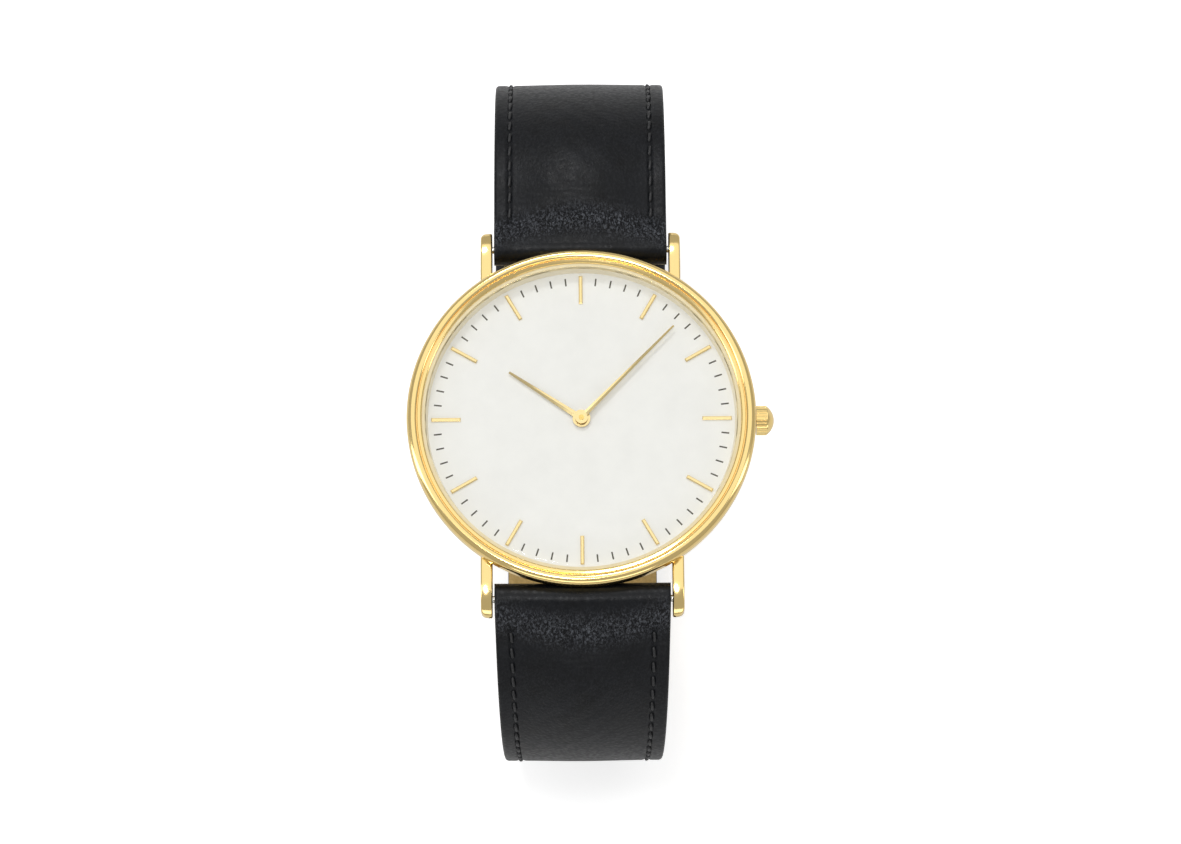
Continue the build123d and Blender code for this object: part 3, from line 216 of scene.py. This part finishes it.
nodeFinish = {
    caseGold: "case_body bezel crown buckle_frame buckle_tongue",
    dialGold: "hour_markers hour_hand minute_hand",
    rehautCream: "flange_ring",
    crystalGlass: "crystal",
    dialLacquer: "dial",
    backSteel: "case_back battery quartz_can",
    stemSteel: "crown_tube stem setting_lever yoke clutch_pinion rotor_pinion"
    " movement_screws stator coil_core battery_clamp",
    plateBrass: "main_plate train_bridge",
    wheelBrass: "cannon_pinion hour_wheel minute_wheel setting_wheel intermediate_wheel",
    coilCopper: "coil_winding",
    magnetGrey: "rotor_magnet",
    sealRubber: "case_back_gasket crown_gasket",
    sealNylon: "crystal_gasket",
    ringPlastic: "movement_ring",
    boardGreen: "circuit_board",
    chipBlack: "drive_chip",
    amberFilm: "battery_insulator",
    strapCalf: "short_strap_leather long_strap_leather fixed_keeper free_keeper",
    strapSuede: "short_strap_lining long_strap_lining",
    blackThread: "short_strap_stitching long_strap_stitching",
}
for finish, names in nodeFinish.items():
    for name in names.split():
        cadNodes[name].data.materials.clear()
        cadNodes[name].data.materials.append(finish)
for name, piece in cadNodes.items():
    if "_bar_" in name:
        piece.data.materials.clear()
        piece.data.materials.append(stemSteel)
print("finishes set")


# a mesh from points in millimetres, riding on one body
def makePiece(name, points, faces, finish, body="root", smooth=True):
    mesh = bpy.data.meshes.new(name)
    mesh.from_pydata((np.asarray(points, float) * mm).tolist(), [], [tuple(f) for f in faces])
    mesh.polygons.foreach_set("use_smooth", np.full(len(mesh.polygons), smooth))
    mesh.materials.append(finish)
    shell = bmesh.new()
    shell.from_mesh(mesh)
    bmesh.ops.recalc_face_normals(shell, faces=shell.faces)
    shell.to_mesh(mesh)
    shell.free()
    mesh.update()
    piece = bpy.data.objects.new(name, mesh)
    bpy.context.scene.collection.objects.link(piece)
    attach(piece, body)
    return piece


# quads between neighbouring rows and columns of a grid of points
def gridFaces(rows, columns, rowsClose=False, columnsClose=False, first=0):
    r = np.arange(rows if rowsClose else rows - 1)[:, None]
    c = np.arange(columns if columnsClose else columns - 1)[None, :]
    a = r * columns + c
    b = r * columns + (c + 1) % columns
    d = ((r + 1) % rows) * columns + c
    e = ((r + 1) % rows) * columns + (c + 1) % columns
    return (np.stack([a, b, e, d], -1).reshape(-1, 4) + first).tolist()


# quads that close the first and the last column of a folded grid, whose rows go out and come back
def sideWalls(rows, columns):
    pairs = np.arange(rows // 2)
    walls = []
    for column, turnRound in ((0, True), (columns - 1, False)):
        a, b = pairs[:-1] * columns + column, pairs[1:] * columns + column
        c, d = (rows - 1 - pairs[1:]) * columns + column, (rows - 1 - pairs[:-1]) * columns + column
        wall = np.stack([a, b, c, d], -1)
        walls += (wall[:, ::-1] if turnRound else wall).tolist()
    return walls


def smoothStep(value, low, high):
    t = np.clip((value - low) / (high - low), 0, 1)
    return t * t * (3 - 2 * t)


# the buckled loop: straight runs and arcs in the Y-Z plane, the same as the frame's
loop = {
    "barY": 20.9, "barZ": 3.0, "bottomSlope": 7.0, "rise": 2.7, "tail": 25.0, "endRun": 6.5,
    "longStart": 33.0, "longSide": 26.6
}


def arcRun(radius, turn):
    return abs(radius * math.radians(turn)), radius


shortPath = {
    "start": (loop["barY"], loop["barZ"], math.radians(-4.0)),
    "side": 1,
    "runs": [
        (6.8, 0), arcRun(-20.0, 56.0), arcRun(-22.0, 30.0), arcRun(-19.5, 90 - loop["bottomSlope"]),
        (loop["endRun"], 0)
    ],
}


# points on a path: each run adds its straight step, or the chord of its arc, to where the last one ended
def followPath(path, distance):
    distance = np.asarray(distance, float)
    startY, startZ, turned = path["start"]
    back = np.minimum(distance, 0)
    y = startY + back * math.cos(turned)
    z = startZ + back * math.sin(turned)
    heading = np.full(distance.shape, turned)
    reached = 0.0
    for length, radius in path["runs"]:
        step = np.clip(distance - reached, 0, length)
        if radius == 0:
            y = y + step * math.cos(turned)
            z = z + step * math.sin(turned)
        else:
            bend = step / radius
            y = y + radius * (np.sin(turned + bend) - math.sin(turned))
            z = z - radius * (np.cos(turned + bend) - math.cos(turned))
            heading = heading + bend
            turned += length / radius
        reached += length
    return y, z, heading


def onPath(path, distance, rise):
    y, z, heading = followPath(path, distance)
    return y - path["side"] * rise * np.sin(heading), z + path["side"] * rise * np.cos(heading)


shortLength = sum(length for length, radius in shortPath["runs"])
endY, endZ, endHeading = (float(v) for v in followPath(shortPath, shortLength))
meetY, meetZ = (float(v) for v in onPath(shortPath, shortLength, loop["rise"]))
outY, outZ = -math.sin(endHeading), math.cos(endHeading)
leanStart, slope = math.radians(loop["longStart"]), math.radians(loop["bottomSlope"])
sideY = -loop["barY"] - loop["longSide"] * (1 - math.sin(leanStart))
sideZ = loop["barZ"] - loop["longSide"] * math.cos(leanStart)
sweepY, sweepZ = 1 + math.sin(slope), -math.cos(slope)
cornerRadius = ((meetY - sideY) * outY + (meetZ - sideZ) * outZ) / (sweepY * outY + sweepZ * outZ)
flatRun = math.hypot(meetY - sideY - cornerRadius * sweepY, meetZ - sideZ - cornerRadius * sweepZ)
longPath = {
    "start": (-loop["barY"], loop["barZ"], math.pi + leanStart),
    "side": -1,
    "runs": [
        arcRun(loop["longSide"], 90 - loop["longStart"]),
        arcRun(cornerRadius, 90 + loop["bottomSlope"]),
        (flatRun + loop["endRun"], 0),
        (loop["tail"] - loop["endRun"], 19.5 + loop["rise"]),
    ],
}
longLength = sum(length for length, radius in longPath["runs"])
print("loop of", round(shortLength, 1), "and", round(longLength, 1), "mm")

shortStrap = {
    "length": shortLength, "taper": (-14.0, -33.0), "pad": 1.4, "padFrom": 7.0, "padTo": 34.0, "tip": 0.0,
    "stitchEnd": shortLength - 2.0
}
longStrap = {
    "length": longLength, "taper": (3.0, -24.0), "pad": 1.4, "padFrom": 7.0, "padTo": 36.0, "tip": 7.5,
    "stitchEnd": longLength - 5.0
}
strapShape = {
    "wide": 20.0, "narrow": 18.5, "roll": 1.8, "top": 1.2, "seam": -0.3, "under": -1.2, "inset": 1.8,
    "groove": 0.22, "stitchFrom": 3.4, "pitch": 2.0
}


def strapHalf(path, spec, distance):
    z = followPath(path, distance)[1]
    high, low = spec["taper"]
    share = np.clip((high - z) / (high - low), 0, 1)
    half = (strapShape["wide"] + share * (strapShape["narrow"] - strapShape["wide"])) / 2
    if spec["tip"]:
        along = np.clip((distance - spec["length"] + spec["tip"]) / spec["tip"], 0, 0.9995)
        half = half * np.sqrt(1 - along ** 2)
    return half


# top of the leather: a flat margin, a groove where the thread runs, and a pillow between the grooves that
# rises like a raised cosine across and fades along the strap; slow waves near the lugs crease it
def strapTop(spec, distance, x, half):
    seam = np.minimum(half, 10) - strapShape["inset"]
    across = np.clip(np.abs(x) / np.maximum(seam - 0.55, 1), 0, 1)
    pillow = (0.5 + 0.5 * np.cos(np.pi * across)) ** 0.62
    lift = smoothStep(distance, -1.8, 5.5) * (1 - smoothStep(distance, spec["padFrom"], spec["padTo"]))
    sewn = smoothStep(distance, 1.8, 3.4) * smoothStep(half, 3.0, 7.0)
    groove = np.exp(-((np.abs(x) - seam) / 0.3) ** 2) * sewn * strapShape["groove"]
    folds = np.sin(
        distance * 6.1 + 1.3 * np.sin(x * 0.9) + 0.5 * np.sin(x * 2.3 + 1)
    ) * 0.5 + np.sin(distance * 9.7 + 2 * np.sin(x * 0.6 + 2)) * 0.3
    near = np.exp(-((distance - 4.2) / 2.6) ** 2) * (0.35 + 0.65 * pillow)
    rumple = 0.03 * np.sin(x * 1.9 + distance * 0.8) * np.sin(distance * 1.3 + 0.7) * pillow * lift
    turned = (strapShape["roll"] - strapShape["top"]) * (1 - smoothStep(distance, 0.0, 5.0))
    return strapShape["top"] + turned + spec["pad"] * pillow * lift - groove + 0.06 * folds * near + rumple


# across the strap: close rows at the edges and over the thread's grooves
acrossHalf = np.concatenate([
    np.linspace(0, 0.72, 26, endpoint=False), np.linspace(0.72, 0.9, 20, endpoint=False),
    np.linspace(0.9, 0.97, 5, endpoint=False), np.linspace(0.97, 1, 7)
])
across = np.concatenate([-acrossHalf[:0:-1], acrossHalf])


# leather skin: seen from the side it is a long loop, under the strap, round the spring
# bar and back over the top;
# rows go round that loop and columns go across, with the two sides walled in
def leatherSkin(name, path, spec, finish):
    length = spec["length"]
    along = np.concatenate([
        np.linspace(0.02, 12, 100, endpoint=False),
        np.linspace(12, length - spec["tip"] - 0.2, int(length * 2.2), endpoint=False),
        length - spec["tip"] * (
            1 - np.sin(np.linspace(0.0, 1, 26) * np.pi / 2)
        ) - 0.2 * (1 - np.linspace(0, 1, 26))
    ])
    half = strapHalf(path, spec, along)[:, None]
    x = half * across[None, :]
    s = np.repeat(along[:, None], len(across), 1)
    roll = np.sqrt(np.clip(strapShape["roll"] ** 2 - s ** 2, 0, None))
    top = strapTop(spec, s, x, half)
    edge = np.clip((np.abs(x) - (half - 0.45)) / 0.45, 0, 1)
    top = top - 0.3 * (1 - np.sqrt(1 - np.clip(edge, 0, 0.999) ** 2))
    under = -np.maximum(-strapShape["seam"], roll)
    turns = np.linspace(0, np.pi, 18)
    rollX = np.repeat((half[0] * across)[None, :], len(turns), 0)
    rollS = -np.sin(turns)[:, None] * strapShape["roll"] + 0 * rollX
    rollN = np.cos(turns)[:, None] * strapShape["roll"] + 0 * rollX
    first = top[0] - strapShape["roll"]
    rollN = rollN + first[None, :] * (np.cos(turns / 2) ** 4)[:, None]
    allS = np.concatenate([s[::-1], rollS[::-1], s])
    allN = np.concatenate([under[::-1], rollN[::-1], top])
    allX = np.concatenate([x[::-1], rollX[::-1], x])
    y, z = onPath(path, allS, allN)
    points = np.stack([allX, y, z], -1).reshape(-1, 3)
    rows, columns = allS.shape
    faces = gridFaces(rows, columns, rowsClose=True)
    faces += sideWalls(rows, columns)
    if path["side"] < 0:
        faces = [f[::-1] for f in faces]
    piece = makePiece(name, points, faces, finish)
    # crease mask, stored as the "crease" attribute: it places the crease bump and also the painted pale
    # highlight on the crease ridges
    onTop = smoothStep(allN, 0.3, 0.9)
    crease = onTop * (
        np.exp(
            -((allS - 1.4 - 1.6 * (1 - (allX / 10) ** 2)) / 1.5) ** 2
        ) + 0.07 * np.exp(-((allS - 11) / 8.0) ** 2)
    )
    attribute = piece.data.attributes.new("crease", "FLOAT", "POINT")
    attribute.data.foreach_set("value", crease.reshape(-1).astype(np.float32))
    return piece


# lining: a band of even thickness whose long edges are a little rounded
def liningSkin(name, path, spec, start, end, finish):
    along = np.concatenate([
        np.linspace(start, end - spec["tip"] - 0.1, int(end * 1.6), endpoint=False),
        end - spec["tip"] * (
            1 - np.sin(np.linspace(0, 1, 22) * np.pi / 2)
        ) - 0.1 * (1 - np.linspace(0, 1, 22))
    ])
    half = strapHalf(path, spec, along)[:, None] - 0.06
    spots = np.linspace(-1, 1, 30)
    x = half * spots[None, :]
    s = np.repeat(along[:, None], len(spots), 1)
    edge = np.clip((np.abs(x) - (half - 0.3)) / 0.3, 0, 0.999)
    low = strapShape["under"] + 0.2 * (1 - np.sqrt(1 - edge ** 2)) + 0.02 * np.sin(x * 1.1 + s * 0.5)
    high = np.full(s.shape, strapShape["seam"] + 0.01)
    allS, allN, allX = (np.concatenate(v) for v in ((s, s[::-1]), (high, low[::-1]), (x, x[::-1])))
    y, z = onPath(path, allS, allN)
    rows, columns = allS.shape
    faces = gridFaces(rows, columns, rowsClose=True)
    faces += sideWalls(rows, columns)
    faces = [f[::-1] for f in faces] if path["side"] > 0 else faces
    return makePiece(name, np.stack([allX, y, z], -1).reshape(-1, 3), faces, finish)


# stitches: short fat threads that rise out of one hole, lie in the groove and dive into the next
def threadRow(name, path, spec, finish):
    starts = np.arange(strapShape["stitchFrom"], spec["stitchEnd"] - 1.6, strapShape["pitch"])
    t = np.linspace(-1, 1, 11)
    ring = np.linspace(0, 2 * np.pi, 8, endpoint=False)
    points, faces = [], []
    for start in starts:
        for sign in (-1, 1):
            s = start + 0.8 + t * 0.78
            half = strapHalf(path, spec, s)
            x = sign * (np.minimum(half, 10) - strapShape["inset"]) + 0.07 * t
            n = strapTop(spec, s, x, half) + 0.13 - 0.42 * np.abs(t) ** 5
            radius = 0.2 * np.sqrt(np.clip(1.02 - np.abs(t) ** 6, 0.02, 1))
            nn = n[:, None] + radius[:, None] * np.cos(ring)
            xx = x[:, None] + radius[:, None] * np.sin(ring)
            ss = np.repeat(s[:, None], len(ring), 1)
            y, z = onPath(path, ss, nn)
            first = len(points)
            points += np.stack([xx, y, z], -1).reshape(-1, 3).tolist()
            body = gridFaces(len(t), len(ring), columnsClose=True, first=first)
            last = first + (len(t) - 1) * len(ring)
            body.append([first + i for i in range(len(ring) - 1, -1, -1)])
            body.append([last + i for i in range(len(ring))])
            faces += body if path["side"] < 0 else [f[::-1] for f in body]
    return makePiece(name, points, faces, finish)


shortLeather = leatherSkin("shortLeatherSkin", shortPath, shortStrap, strapCalf)
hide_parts("short_strap_leather")
shortSuede = liningSkin("shortSuedeLining", shortPath, shortStrap, 1.9, shortLength - 1.7, strapSuede)
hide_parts("short_strap_lining")
punched = {"pitch": 6.5, "long": 3.0, "wide": 2.0, "notchWide": 2.6, "notchLong": 3.2, "reach": 4.0}
holePlaces = [longLength - loop["tail"] + step * punched["pitch"] for step in (-3, -2, -1, 0, 1, 2)]


# cutter: an upright prism through both layers, from a flat outline of points across and along the strap
def prismThrough(path, place, outline):
    y, z, heading = (float(v) for v in followPath(path, place))
    count = len(outline)
    points = []
    for rise in (-punched["reach"], punched["reach"]):
        for aside, ahead in outline:
            spotY = y + ahead * math.cos(heading) - path["side"] * rise * math.sin(heading)
            spotZ = z + ahead * math.sin(heading) + path["side"] * rise * math.cos(heading)
            points.append([aside, spotY, spotZ])
    faces = [[i, (i + 1) % count, count + (i + 1) % count, count + i] for i in range(count)]
    return points, faces + [list(range(count - 1, -1, -1)), list(range(count, 2 * count))]


# takes the cutter out of each piece, and leaves no modifier behind
def cutAway(pieces, points, faces):
    cutter = makePiece("cutter", points, faces, strapCalf)
    for piece in pieces:
        cut = piece.modifiers.new("cut", "BOOLEAN")
        cut.operation, cut.object, cut.solver = "DIFFERENCE", cutter, "EXACT"
        bpy.context.view_layer.update()
        cutMesh = bpy.data.meshes.new_from_object(
            piece.evaluated_get(bpy.context.evaluated_depsgraph_get())
        )
        piece.modifiers.clear()
        piece.data = cutMesh
    bpy.data.objects.remove(cutter)


# slot outline: two half-circles joined by straight sides, longer along the strap
def slotOutline(long, wide):
    turns = np.linspace(0, np.pi, 14)
    straight = (long - wide) / 2
    near = [(wide / 2 * math.cos(a), straight + wide / 2 * math.sin(a)) for a in turns]
    return near + [(-across, -ahead) for across, ahead in near]


notch = [
    (sign * punched["notchWide"] / 2, ahead * punched["notchLong"] / 2)
    for sign, ahead in ((-1, -1), (1, -1), (1, 1), (-1, 1))
]
cutAway([shortLeather], *prismThrough(shortPath, shortLength, notch))
shortThread = threadRow("shortThreadRows", shortPath, shortStrap, blackThread)
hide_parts("short_strap_stitching")
longLeather = leatherSkin("longLeatherSkin", longPath, longStrap, strapCalf)
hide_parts("long_strap_leather")
longSuede = liningSkin("longSuedeLining", longPath, longStrap, 1.9, longLength, strapSuede)
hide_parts("long_strap_lining")
slots, slotFaces = [], []
for place in holePlaces:
    spots, quads = prismThrough(longPath, place, slotOutline(punched["long"], punched["wide"]))
    slotFaces += [[len(slots) + i for i in quad] for quad in quads]
    slots += spots
cutAway([longLeather, longSuede], slots, slotFaces)
longThread = threadRow("longThreadRows", longPath, longStrap, blackThread)
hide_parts("long_strap_stitching")
print("strap made")

# case: a turned flank with a pocket for each strap end, and four straight lugs
caseShape = {
    "topRadius": 19.7, "footRadius": 17.3, "foot": 0.45, "seat": 4.5, "backRadius": 16.5, "backDeep": 0.9,
    "bore": 18.12
}
lugShape = {
    "inner": 10.23, "outer": 11.55, "start": 15.4, "tip": 22.95, "top": 4.5, "bottom": 1.25, "tipTop": 2.75,
    "tipBottom": 2.2, "corner": 0.85, "soft": 0.2
}


# turned ring: a closed outline of radius and height pairs carried once round Z
def turnedRing(outline, steps):
    angles = np.linspace(0, 2 * np.pi, steps, endpoint=False)
    radius, height = np.array(outline, float).T
    x = np.cos(angles)[:, None] * radius
    y = np.sin(angles)[:, None] * radius
    z = np.repeat(height[None, :], steps, 0)
    return np.stack([x, y, z], -1).reshape(-1, 3), gridFaces(
        steps, len(radius), rowsClose=True, columnsClose=True
    )


# lug: rounded rectangles along Y whose top falls as a quarter ellipse and whose outer
# corner is a quarter circle
def lugPoints(signX, signY):
    y = np.concatenate([
        np.linspace(lugShape["start"], 18.5, 8, endpoint=False),
        np.linspace(18.5, 22.0, 26, endpoint=False), 22.0 + 0.95 * np.sin(np.linspace(0, np.pi / 2, 16))
    ])
    drop = np.clip((y - 19.0) / (lugShape["tip"] + 0.25 - 19.0), 0, 1)
    top = lugShape["top"] - (lugShape["top"] - lugShape["tipTop"]) * (1 - np.sqrt(1 - drop ** 2)) * 1.25
    bottom = lugShape["bottom"] + (
        lugShape["tipBottom"] - lugShape["bottom"]
    ) * np.clip((y - 21.2) / 1.75, 0, 1) ** 2
    bend = np.clip((y - lugShape["tip"] + lugShape["corner"]) / lugShape["corner"], 0, 0.999)
    outer = lugShape["outer"] - lugShape["corner"] * (1 - np.sqrt(1 - bend ** 2))
    close = np.clip((y - lugShape["tip"] + 0.2) / 0.2, 0, 0.98)
    inset = 0.2 * (1 - np.sqrt(1 - close ** 2))
    soft = lugShape["soft"]
    turns = np.linspace(0, np.pi / 2, 5)
    loopPoints = []
    for cornerX, cornerZ, phase in (
        (outer - inset, top - inset, 0), (lugShape["inner"] + inset, top - inset, 1),
        (lugShape["inner"] + inset, bottom + inset, 2), (outer - inset, bottom + inset, 3)
    ):
        for turn in turns + phase * np.pi / 2:
            middleX = cornerX - soft * (1 if phase in (0, 3) else -1)
            middleZ = cornerZ - soft * (1 if phase in (0, 1) else -1)
            loopPoints.append(
                np.stack([middleX + soft * np.cos(turn), y, middleZ + soft * np.sin(turn)], -1)
            )
    grid = np.stack(loopPoints, 1)
    rows, columns = grid.shape[:2]
    faces = gridFaces(rows, columns, columnsClose=True)
    faces.append(list(range(columns)))
    faces.append(list(range(rows * columns - 1, (rows - 1) * columns - 1, -1)))
    if signX * signY > 0:
        faces = [f[::-1] for f in faces]
    return grid.reshape(-1, 3) * np.array([signX, signY, 1]), faces


flank = [
    (
        caseShape["footRadius"] + (
            caseShape["topRadius"] - caseShape["footRadius"]
        ) * math.sin(t * math.pi / 2) ** 0.85,
        caseShape["foot"] + (caseShape["seat"] - caseShape["foot"]) * t
    )
    for t in np.linspace(0, 1, 18)
]
outline = flank + [
    (caseShape["bore"], caseShape["seat"]), (caseShape["bore"], 3.4), (caseShape["backRadius"], 3.4),
    (caseShape["backRadius"], caseShape["backDeep"]), (caseShape["backRadius"], caseShape["foot"])
]
points, faces = turnedRing(outline, 240)
caseRing = makePiece("caseRing", points, faces, caseGold)
pocketPoints, pocketFaces = [], []
for side in (1, -1):
    first = len(pocketPoints)
    low, high = sorted((side * 18.9, side * 22.9))
    pocketPoints += [[x, y, z] for x in (-10.23, 10.23) for y in (low, high) for z in (-1.0, 5.0)]
    pocketFaces += [
        [first + i for i in f]
        for f in ((0, 1, 3, 2), (4, 6, 7, 5), (0, 4, 5, 1), (2, 3, 7, 6), (0, 2, 6, 4), (1, 5, 7, 3))
    ]
pockets = makePiece("pockets", pocketPoints, pocketFaces, caseGold)
cut = caseRing.modifiers.new("strapPockets", "BOOLEAN")
cut.operation, cut.object, cut.solver = "DIFFERENCE", pockets, "EXACT"
bpy.context.view_layer.update()
cutMesh = bpy.data.meshes.new_from_object(caseRing.evaluated_get(bpy.context.evaluated_depsgraph_get()))
caseRing.modifiers.clear()
caseRing.data = cutMesh
bpy.data.objects.remove(pockets)
cutMesh.set_sharp_from_angle(angle=math.radians(35))
points, faces = [], []
for signX in (1, -1):
    for signY in (1, -1):
        lugSpots, lugFaces = lugPoints(signX, signY)
        faces += [[len(points) + i for i in f] for f in lugFaces]
        points += lugSpots.tolist()
lugs = makePiece("caseLugs", points, faces, caseGold)
lugs.data.set_sharp_from_angle(angle=math.radians(50))
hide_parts("case_body")

# bezel: turned, with a rounded shoulder, a crest, a fine groove and an inner lip
bezelShape = {"radius": 20.0, "shoulder": 0.7637, "shoulderHeight": 5.55, "crest": 19.38}


def arcSpots(middle, radius, first, last, count):
    return [
        (middle[0] + radius * math.cos(math.radians(a)), middle[1] + radius * math.sin(math.radians(a)))
        for a in np.linspace(first, last, count)
    ]


outline = [(19.8, 4.5), (20.0, 4.7)] + arcSpots(
    (bezelShape["radius"] - bezelShape["shoulder"], bezelShape["shoulderHeight"]), bezelShape["shoulder"],
    0, 79.15, 14
)
outline += [
    (19.26, 6.306), (19.12, 6.286), (19.0, 6.243), (18.92, 6.19), (18.885, 6.13), (18.86, 5.99),
    (18.79, 5.99), (18.765, 6.14), (18.72, 6.185), (18.6, 6.15), (18.42, 6.1), (18.32, 6.06), (18.265, 6.0),
    (18.25, 5.93), (18.25, 5.3), (18.75, 5.3), (18.75, 4.5)
]
points, faces = turnedRing(outline, 360)
bezelRing = makePiece("bezelRing", points, faces, caseGold)
bezelRing.data.set_sharp_from_angle(angle=math.radians(40))
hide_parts("bezel")

# crystal: a flat disc with a small bevel round its upper edge
outline = [(17.9, 5.4), (17.9, 6.15), (17.85, 6.22), (17.72, 6.34), (17.65, 6.35)]
steps = 240
angles = np.linspace(0, 2 * np.pi, steps, endpoint=False)
radius, height = np.array(outline).T
grid = np.stack(
    [
        np.cos(angles)[:, None] * radius, np.sin(angles)[:, None] * radius,
        np.repeat(height[None, :], steps, 0)
    ],
    -1
)
faces = gridFaces(steps, len(outline), rowsClose=True)
faces.append([i * len(outline) for i in range(steps - 1, -1, -1)])
faces.append([i * len(outline) + len(outline) - 1 for i in range(steps)])
crystalDisc = makePiece("crystalDisc", grid.reshape(-1, 3), faces, crystalGlass)
crystalDisc.data.set_sharp_from_angle(angle=math.radians(20))
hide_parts("crystal")
print("case made")

# minute track: thin printed bars between the applied markers
minuteTrack = {"inner": 16.1, "outer": 17.0, "width": 0.18, "top": 4.302}
points, faces = [], []
for minute in range(60):
    if minute % 5 == 0:
        continue
    angle = math.radians(90 - 6 * minute)
    along = np.array([math.cos(angle), math.sin(angle)])
    aside = np.array([-along[1], along[0]]) * minuteTrack["width"] / 2
    corners = [
        along * minuteTrack["inner"] - aside, along * minuteTrack["outer"] - aside,
        along * minuteTrack["outer"] + aside, along * minuteTrack["inner"] + aside
    ]
    first = len(points)
    points += [[c[0], c[1], h] for h in (4.3, minuteTrack["top"]) for c in corners]
    faces += [
        [first + i for i in f]
        for f in ((4, 5, 6, 7), (3, 2, 1, 0), (0, 1, 5, 4), (1, 2, 6, 5), (2, 3, 7, 6), (3, 0, 4, 7))
    ]
makePiece("printedMinuteTrack", points, faces, printInk, smooth=False)
print("minute track printed")

# floor: pale, near white to the camera, and it keeps a soft shadow
floorMesh = bpy.data.meshes.new("floor")
floorHeight = -0.04626  # just under the loop's lowest point
corners = [(-3, -3), (3, -3), (3, 3), (-3, 3)]
floorMesh.from_pydata([(x, y, floorHeight) for x, y in corners], [], [(0, 1, 2, 3)])
floor = bpy.data.objects.new("floor", floorMesh)
bpy.context.scene.collection.objects.link(floor)
floorPaper = bpy.data.materials.new("white studio paper")
floorPaper.use_nodes = True
tree = floorPaper.node_tree
tree.nodes.clear()
path = addNode(tree, "ShaderNodeLightPath")
seen = addNode(
    tree, "ShaderNodeMath", {0: path.outputs["Is Camera Ray"], 1: path.outputs["Is Transmission Ray"]},
    operation="MAXIMUM"
)
lift = addNode(tree, "ShaderNodeMath", {0: seen.outputs[0], 1: 0.58}, operation="MULTIPLY")
paper = addNode(tree, "ShaderNodeBsdfDiffuse", {"Color": (0.82, 0.82, 0.82, 1)})
glow = addNode(tree, "ShaderNodeEmission", {"Color": (1, 1, 1, 1), "Strength": lift.outputs[0]})
both = addNode(tree, "ShaderNodeAddShader", {0: paper.outputs[0], 1: glow.outputs[0]})
tree.links.new(both.outputs[0], addNode(tree, "ShaderNodeOutputMaterial").inputs["Surface"])
floorMesh.materials.append(floorPaper)

# studio light: a broad softbox overhead, a strip on each side and a pale surround
world = bpy.data.worlds.new("studio")
bpy.context.scene.world = world
world.use_nodes = True
tree = world.node_tree
tree.nodes.clear()
path = addNode(tree, "ShaderNodeLightPath")
toCamera = addNode(
    tree, "ShaderNodeMath", {0: path.outputs["Is Camera Ray"], 1: 0.66, 2: 0.34}, operation="MULTIPLY_ADD"
)
toMetal = addNode(
    tree, "ShaderNodeMath", {0: path.outputs["Is Glossy Ray"], 1: 0.14, 2: toCamera.outputs[0]},
    operation="MULTIPLY_ADD"
)
surround = addNode(tree, "ShaderNodeBackground", {"Color": (1, 1, 1, 1), "Strength": toMetal.outputs[0]})
tree.links.new(surround.outputs[0], addNode(tree, "ShaderNodeOutputWorld").inputs["Surface"])


def softbox(name, place, aim, size, power):
    lamp = bpy.data.lights.new(name, "AREA")
    lamp.shape = "RECTANGLE"
    lamp.size, lamp.size_y = size
    lamp.energy = power
    stand = bpy.data.objects.new(name, lamp)
    bpy.context.scene.collection.objects.link(stand)
    stand.location = place
    stand.rotation_euler = (Vector(aim) - Vector(place)).to_track_quat("-Z", "Y").to_euler()
    return stand


softbox("overheadSoftbox", (0.0, 0.42, 0.85), (0, 0, 0), (1.4, 1.1), 3.1)
# the next two lamps pick out the creases behind 12 o'clock and below 6 o'clock
softbox("nearKey", (-0.06, -0.04, 0.8), (0, 0, 0), (0.16, 0.1), 1.1)
softbox("farKey", (-0.12, 0.62, 0.68), (0, 0, 0), (0.2, 0.12), 1.3)
softbox("leftStrip", (-0.5, 0.0, 0.3), (0, 0, 0), (0.12, 0.6), 0.6)
softbox("rightStrip", (0.6, -0.05, 0.3), (0, 0, 0), (0.12, 0.5), 0.4)
softbox("frontFill", (0.0, -0.6, 0.28), (0, 0, 0), (0.7, 0.2), 0.65)

# camera: at 6 o'clock, 73.5 degrees above the dial's plane, 510 mm from the bezel
viewpoint = {"distance": 510.0, "elevation": 73.5, "lens": 136.2, "aim": (1.03, -0.86, 6.04)}
lensObject = bpy.data.cameras.new("camera")
lensObject.lens = viewpoint["lens"]
lensObject.sensor_width = 36
lensObject.clip_start, lensObject.clip_end = 0.01, 10
camera = bpy.data.objects.new("camera", lensObject)
bpy.context.scene.collection.objects.link(camera)
tilt = math.radians(viewpoint["elevation"])
camera.location = Vector((
    0, -viewpoint["distance"] * math.cos(tilt), 6.3 + viewpoint["distance"] * math.sin(tilt)
)) * mm
camera.rotation_euler = (
    Vector(viewpoint["aim"]) * mm - camera.location
).to_track_quat("-Z", "Y").to_euler()
bpy.context.scene.camera = camera
bpy.context.scene.view_settings.view_transform = "Standard"
print("stage, lights and camera set")
